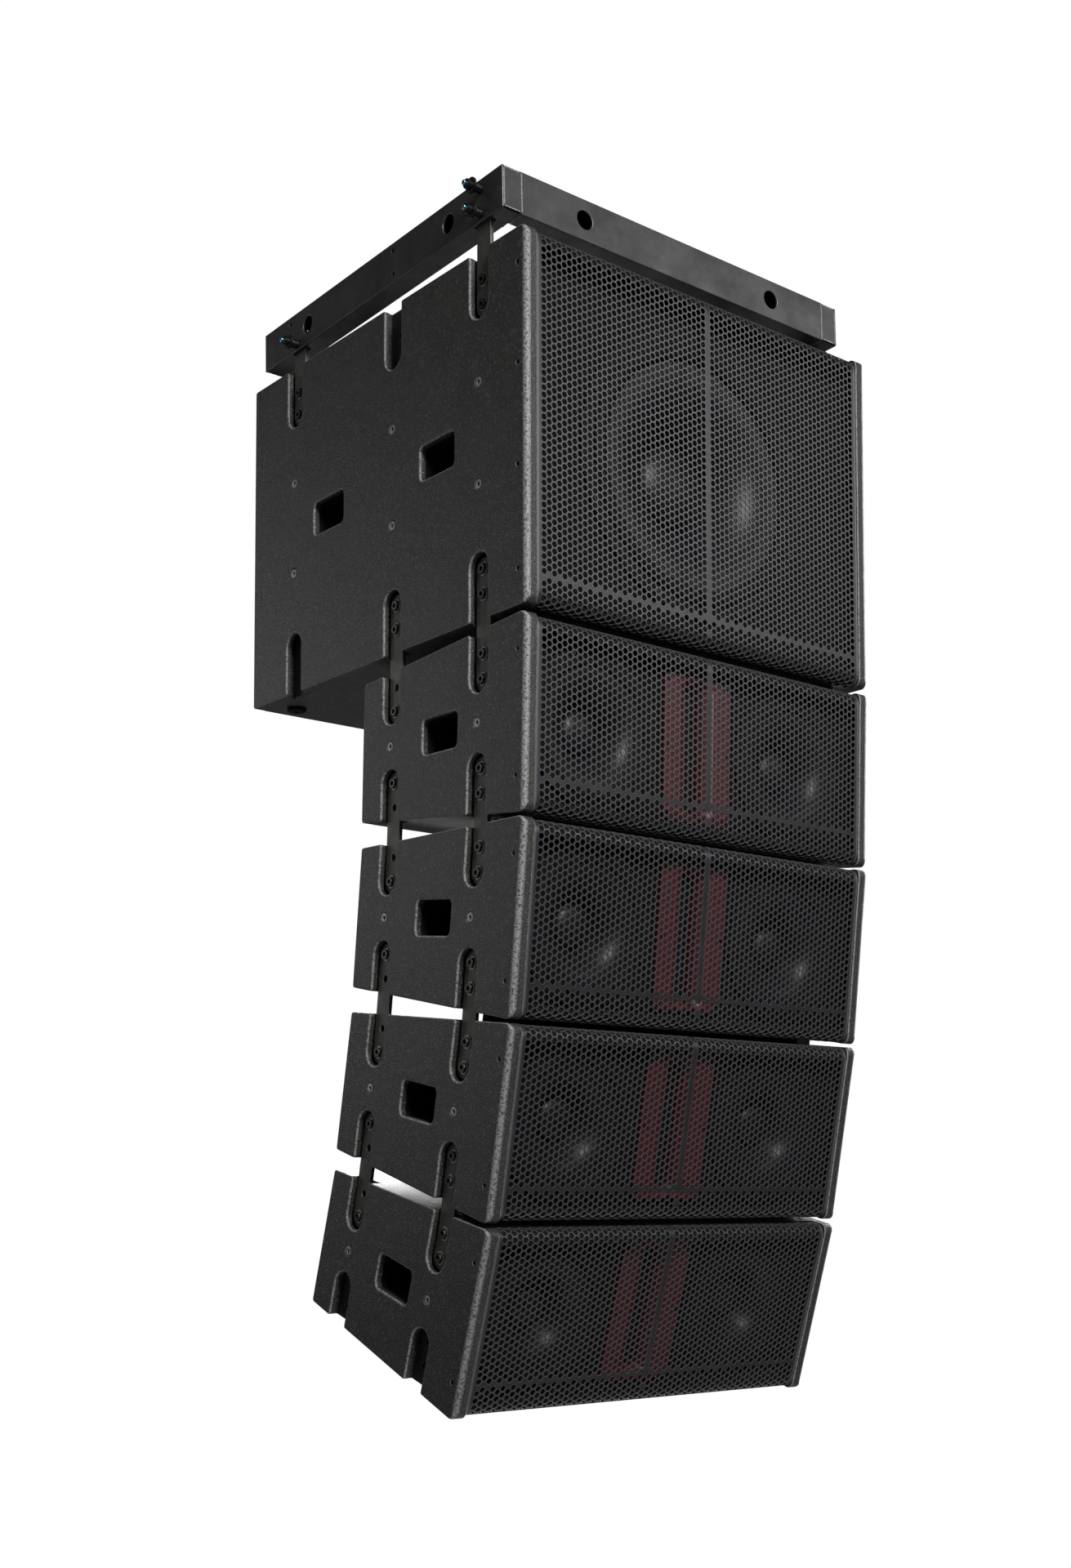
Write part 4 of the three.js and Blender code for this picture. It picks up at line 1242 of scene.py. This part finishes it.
def dull(name, dark, light, roughness, size, depth, specular=0.5, coat=0.0):
    """Rubber, pulp or moulded plastic: a mottled colour and a fine skin, sometimes with a sheen."""
    material, tree, shader, place = new_material(name)
    grain = noise(tree, place, size, 3.0)
    colour = blended(tree, ranged(tree, grain, 0.3, 0.7), dark, light)
    coloured(tree, shader, colour, grain, (roughness + 0.06, roughness - 0.06))
    shader.inputs["Coat Weight"].default_value = coat
    shader.inputs["Coat Roughness"].default_value = COAT_ROUGHNESS
    shader.inputs["Specular IOR Level"].default_value = specular
    bumped(tree, shader, grain, depth)
    return material


def make_looks():
    looks = {"paint": cabinet_paint(), "inside": shaded_inside_paint(), "grille": grille_coat()}
    for make, table in ((painted_steel, PAINTED_STEEL), (bare_steel, BARE_STEEL), (dull, DULL)):
        for look, finish in table.items():
            looks[look] = make(*finish)
    return looks


# ---------------------------------------------------------------- placing
SIDES = (("left", -1), ("right", 1))
PIN_NAMES = ("front_upper", "front_lower", "rear")
IN_PLACE = Matrix.Identity(4)


class Kind(NamedTuple):
    slot: str
    looks: tuple  # in the order of the faces' paint numbers


CONE_LOOKS = ("cone", "rubber", "basket", "black_steel")
KINDS = {
    "frame": Kind("rigging_steel", ("frame", "weld")),
    "bar": Kind("rigging_steel", ("bar", "zinc", "black_steel")),
    "pin": Kind("pin_steel", ("black_steel",)),
    "button": Kind("pin_button", ("button",)),
    "cabinet": Kind("cabinet_paint", ("paint", "inside", "rubber")),
    "channels": Kind("rigging_steel", ("channel",)),
    "screws": Kind("rigging_steel", ("zinc", "black_steel")),
    "sheet": Kind("grille_steel", ("grille", "foam")),
    "sub_cone": Kind("sub_driver", CONE_LOOKS),
    "cone": Kind("woofer", CONE_LOOKS),
    "horn": Kind("horn_red", ("red", "black_steel", "basket")),
    "amplifier": Kind("amp_aluminium", ("aluminium", "zinc", "plastic")),
}

# piece, kind, and the end of the name of the CAD node that it stands for
CABINET_PIECES = (
    ("cabinet", "cabinet", "shell"),
    ("channels", "channels", None),
    ("screws", "screws", None),
    ("perforated_sheet", "sheet", "grille"),
)
SUB_PIECES = (*CABINET_PIECES, ("cone", "sub_cone", "driver"), ("amplifier", "amplifier", None))
ELEMENT_PIECES = (
    *CABINET_PIECES,
    ("cone_left", "cone", "woofer_left"),
    ("cone_right", "cone", "woofer_right"),
    ("horn_flare", "horn", "horn"),
    ("amplifier", "amplifier", "amp_panel"),
)


def add_object(name, data):
    made = bpy.data.objects.new(name, data)
    bpy.context.scene.collection.objects.link(made)
    return made


def add_piece(name, shape, kind, looks, matrix, body, node=None):
    """Puts a shape in the scene, riding on a body, in place of a CAD node if it stands for one."""
    piece = add_object(name, shape.made(name, [looks[look] for look in KINDS[kind].looks]))
    piece.matrix_world = matrix
    piece.modifiers.new("even_normals", "WEIGHTED_NORMAL").keep_sharp = True
    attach(piece, body)
    if node:
        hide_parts(node)


def cabinet_matrix(tilt, pivot, point):
    """A cabinet's place, from a point in metres in the frame and the same point in the cabinet."""
    turn = Matrix.Rotation(math.radians(tilt), 4, "X")
    return Matrix.Translation(Vector(pivot) - turn @ (Vector(point) * MM)) @ turn


def in_cabinet(upper, lower, y, z):
    """A point of the lower cabinet, in the upper one's own millimetres, as (y, z)."""
    p = upper.inverted() @ lower @ (Vector((0, y, z)) * MM)
    return p.y / MM, p.z / MM


def pin_place(name):
    """The (y, z) of a quick-release pin's axis."""
    low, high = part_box(f"frame_pin_{name}_left")
    middle = (low + high) / 2
    return middle[1] / MM, middle[2] / MM


def build_frame(sub, looks):
    """The fly frame and its quick-release pins."""

    def over_sub(column):
        """Where a rigging column of the tilted subwoofer meets the frame."""
        return (sub @ (Vector((0, column, SUB_HALF_HEIGHT + FRAME_GAP)) * MM)).y / MM

    places = {name: pin_place(name) for name in PIN_NAMES}
    openings = [over_sub(FRONT_COLUMN), over_sub(SUB_REAR_COLUMN)]
    shape = Shape()
    for _, sign in SIDES:
        side_rail(shape, sign, openings, list(places.values()))
    for end in (-1, 1):
        cross_tube(shape, end)
    welds(shape)
    add_piece("fly_frame_steel", shape, "frame", looks, IN_PLACE, "rig", "fly_frame")
    for side, sign in SIDES:
        for name, place in places.items():
            end = f"{name}_{side}"
            pin = Shape()
            quick_pin(pin, sign, *place)
            add_piece(f"quick_pin_{end}", pin, "pin", looks, IN_PLACE, f"pin_{end}", f"frame_pin_{end}")
            button = Shape()
            pin_button(button, sign, *place)
            body = f"button_{end}"
            add_piece(f"push_button_{end}", button, "button", looks, IN_PLACE, body, f"pin_button_{end}")


def cabinet_shapes(cabinet, mouths):
    """The shapes that the subwoofer and an element have alike."""
    shapes = {piece: Shape() for piece, _, _ in CABINET_PIECES}
    for _, sign in SIDES:
        side_panel(shapes["cabinet"], cabinet, sign)
        channel_plates(shapes["channels"], cabinet, sign)
    boards(shapes["cabinet"], cabinet, rear_recess=cabinet is ELEMENT)
    baffle(shapes["cabinet"], cabinet, mouths)
    cabinet_screws(shapes["screws"], cabinet)
    grille_sheet(shapes["perforated_sheet"], cabinet)
    bend_foam(shapes["perforated_sheet"], cabinet)
    shapes["amplifier"] = Shape()
    return shapes


def sub_shapes():
    shapes = cabinet_shapes(SUB, [driver_mouth(SUB_DRIVER, 0)])
    for _, sign in SIDES:
        for y in FOOT["y"]:
            foot(shapes["cabinet"], sign * FOOT["x"], y, -SUB_HALF_HEIGHT)
    shapes["cone"] = Shape()
    cone_driver(shapes["cone"], SUB_DRIVER, 0)
    amp_panel(shapes["amplifier"], SUB_AMP, SUB.depth - 0.5, SUB.depth + AMP_SHEET)
    return shapes


def element_shapes():
    mouths = [driver_mouth(WOOFER, sign * WOOFER["x"]) for _, sign in SIDES]
    mouths.append(outline(rectangle(0, 0, 48, 94, 4, 0.5)))
    shapes = cabinet_shapes(ELEMENT, mouths)
    seal(shapes["cabinet"])
    for side, sign in SIDES:
        shapes[f"cone_{side}"] = Shape()
        cone_driver(shapes[f"cone_{side}"], WOOFER, sign * WOOFER["x"])
    shapes["horn_flare"] = Shape()
    horn(shapes["horn_flare"])
    back = ELEMENT.depth - AMP["recess"] + GAP
    amp_panel(shapes["amplifier"], ELEMENT_AMP, back, back + AMP_SHEET)
    amp_box(shapes["amplifier"], ELEMENT_AMP, back)
    return shapes


def build_cabinet(name, body, pieces, shapes, matrix, looks):
    for piece, kind, node in pieces:
        node = f"{name}_{node}" if node else None
        add_piece(f"{name}_{piece}", shapes[piece], kind, looks, matrix, body, node)


def build_frame_bars(sub, looks):
    """The bars from the fly frame down to the subwoofer."""
    for side, sign in SIDES:
        for place, column in (("front", FRONT_COLUMN), ("rear", SUB_REAR_COLUMN)):
            heights = [SUB_HALF_HEIGHT + up for up in FRAME_BAR_PINS[place]]
            pins = [(column, SUB_PIN + PIN_PITCH), (column, SUB_PIN)]
            path = [pins[1], (column, heights[-1] - FRAME_BAR_CUT)]
            bar = Shape()
            link_bar(bar, sign, path, pins, [(column, z) for z in heights[:-1]])
            node = f"frame_link_{place}_{side}"
            add_piece(f"frame_bar_{place}_{side}", bar, "bar", looks, sub, "rig", node)


def build_bars(number, upper, lower, looks):
    """The bars between two cabinets, in the frame of the one above."""
    first = number == 1
    front_pin, rear_pin = (SUB_PIN, SUB_PIN) if first else (ELEMENT_FRONT_PIN, ELEMENT_REAR_PIN)
    front = [(FRONT_COLUMN, -front_pin), (FRONT_COLUMN, -front_pin - PIN_PITCH)]
    for z in (ELEMENT_FRONT_PIN + PIN_PITCH, ELEMENT_FRONT_PIN):
        front.append(in_cabinet(upper, lower, FRONT_COLUMN, z))
    rear = [(REAR_COLUMN, -rear_pin), (REAR_COLUMN, -rear_pin - PIN_PITCH)]
    rear_end = in_cabinet(upper, lower, REAR_COLUMN, ELEMENT_REAR_PIN)
    holes = [in_cabinet(upper, lower, REAR_COLUMN, ELEMENT_REAR_PIN + PIN_PITCH)]
    if not first:
        holes.append(rear.pop())
    front_body = "rig" if first else f"element_{number - 1}"
    rear_body = "rig" if first else f"rear_links_{number}"
    bars = (
        ("front", front_body, [front[0], *front[2:]], front, []),
        ("rear", rear_body, [rear[0], rear_end], [*rear, rear_end], holes),
    )
    for side, sign in SIDES:
        for place, body, path, pins, cuts in bars:
            end = f"{number}_{side}"
            bar = Shape()
            link_bar(bar, sign, path, pins, cuts)
            add_piece(f"{place}_bar_{end}", bar, "bar", looks, upper, body, f"{place}_link_{end}")


# ---------------------------------------------------------------- studio
CAMERA = {
    "place": (-1.6686, -2.1673, -1.354),
    "turn": (94.84, 1.44, -42.27),
    "lens": 44.32,
    "shift": (-0.12, 0.19),
}


class Light(NamedTuple):
    place: tuple
    target: tuple
    size: float
    power: float
    spread: float  # degrees


LIGHTS = {
    "key": Light((-0.9, -3.9, 1.4), (0, 0, -0.8), 1.6, 23, 42),
    "sheen": Light((2.4, -3.2, 1.0), (0, 0, -0.4), 1.4, 2.3, 50),
    "back": Light((2.4, 3.2, 0.8), (0, 0.2, -0.7), 1.6, 10, 45),
    "right": Light((3.6, 0.9, 0.4), (0.3, 0, -0.8), 1.6, 11, 50),
    "floor_light": Light((0, 0, -2.0), (0, 0.001, -4), 7, 170, 180),
    "fill": Light((-1.8, 3.5, 0.1), (0, 0.3, -0.9), 1.8, 5.5, 120),
}
FLOOR = {"level": -4.4, "half": 4}
SOFT_LIGHT = 0.08  # that the white background gives


def add_camera():
    camera = add_object("camera", bpy.data.cameras.new("camera"))
    camera.location = CAMERA["place"]
    camera.rotation_euler = [math.radians(a) for a in CAMERA["turn"]]
    camera.data.lens = CAMERA["lens"]
    camera.data.shift_x, camera.data.shift_y = CAMERA["shift"]
    bpy.context.scene.camera = camera


def add_light(name, light):
    data = bpy.data.lights.new(name, "AREA")
    data.spread = math.radians(light.spread)
    data.size = light.size
    data.energy = light.power
    lamp = add_object(name, data)
    lamp.location = light.place
    way = Vector(light.target) - Vector(light.place)
    lamp.rotation_euler = way.to_track_quat("-Z", "Y").to_euler()


def white_background():
    """White to look at, but only a soft glow on the object."""
    world = bpy.data.worlds.new("studio")
    world.use_nodes = True
    bpy.context.scene.world = world
    tree = world.node_tree
    background = tree.nodes["Background"]
    background.inputs["Color"].default_value = (1, 1, 1, 1)
    seen = tree.nodes.new("ShaderNodeLightPath").outputs["Is Camera Ray"]
    linked(tree, background.inputs["Strength"], ranged(tree, seen, 0, 1, SOFT_LIGHT, 1.0))


def pale_floor():
    signs = ((-1, -1), (1, -1), (1, 1), (-1, 1))
    corners = [(x * FLOOR["half"], y * FLOOR["half"], FLOOR["level"]) for x, y in signs]
    mesh = bpy.data.meshes.new("floor")
    mesh.from_pydata(corners, [], [(0, 1, 2, 3)])
    material, tree, shader, place = new_material("floor")
    pale = blended(tree, noise(tree, place, 40, 3.0), (0.78, 0.78, 0.77), (0.82, 0.82, 0.81))
    linked(tree, shader.inputs["Base Color"], pale)
    shader.inputs["Roughness"].default_value = 0.8
    mesh.materials.append(material)
    add_object("floor", mesh)


def studio():
    add_camera()
    for name, light in LIGHTS.items():
        add_light(name, light)
    white_background()
    pale_floor()
    bpy.context.scene.view_settings.view_transform = "Standard"


def cabinet_matrices(joints):
    """The places of the subwoofer and of the elements, each hung from the pivot above it."""
    pivots = {joint["name"]: joint["pos_m"] for joint in joints if joint["type"] == "hinge"}
    under_sub = (0, FRONT_COLUMN, -SUB_HALF_HEIGHT - SUB_PIVOT_DROP)
    matrices = [cabinet_matrix(SUB_TILT, pivots["splay_1"], under_sub)]
    on_element = (0, FRONT_COLUMN, ELEMENT_FRONT_PIN + PIN_PITCH)
    tilt = SUB_TILT
    for number, splay in enumerate(SPLAY, 1):
        tilt += splay
        matrices.append(cabinet_matrix(tilt, pivots[f"splay_{number}"], on_element))
    return matrices


def main():
    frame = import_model()
    matrices = cabinet_matrices(frame["joints"])
    sub = matrices[0]
    looks = make_looks()
    build_frame(sub, looks)
    build_cabinet("sub", "rig", SUB_PIECES, sub_shapes(), sub, looks)
    shapes = element_shapes()
    for number, matrix in enumerate(matrices[1:], 1):
        name = f"element_{number}"
        build_cabinet(name, name, ELEMENT_PIECES, shapes, matrix, looks)
    build_frame_bars(sub, looks)
    for number, (upper, lower) in enumerate(zip(matrices, matrices[1:]), 1):
        build_bars(number, upper, lower, looks)
    studio()


main()
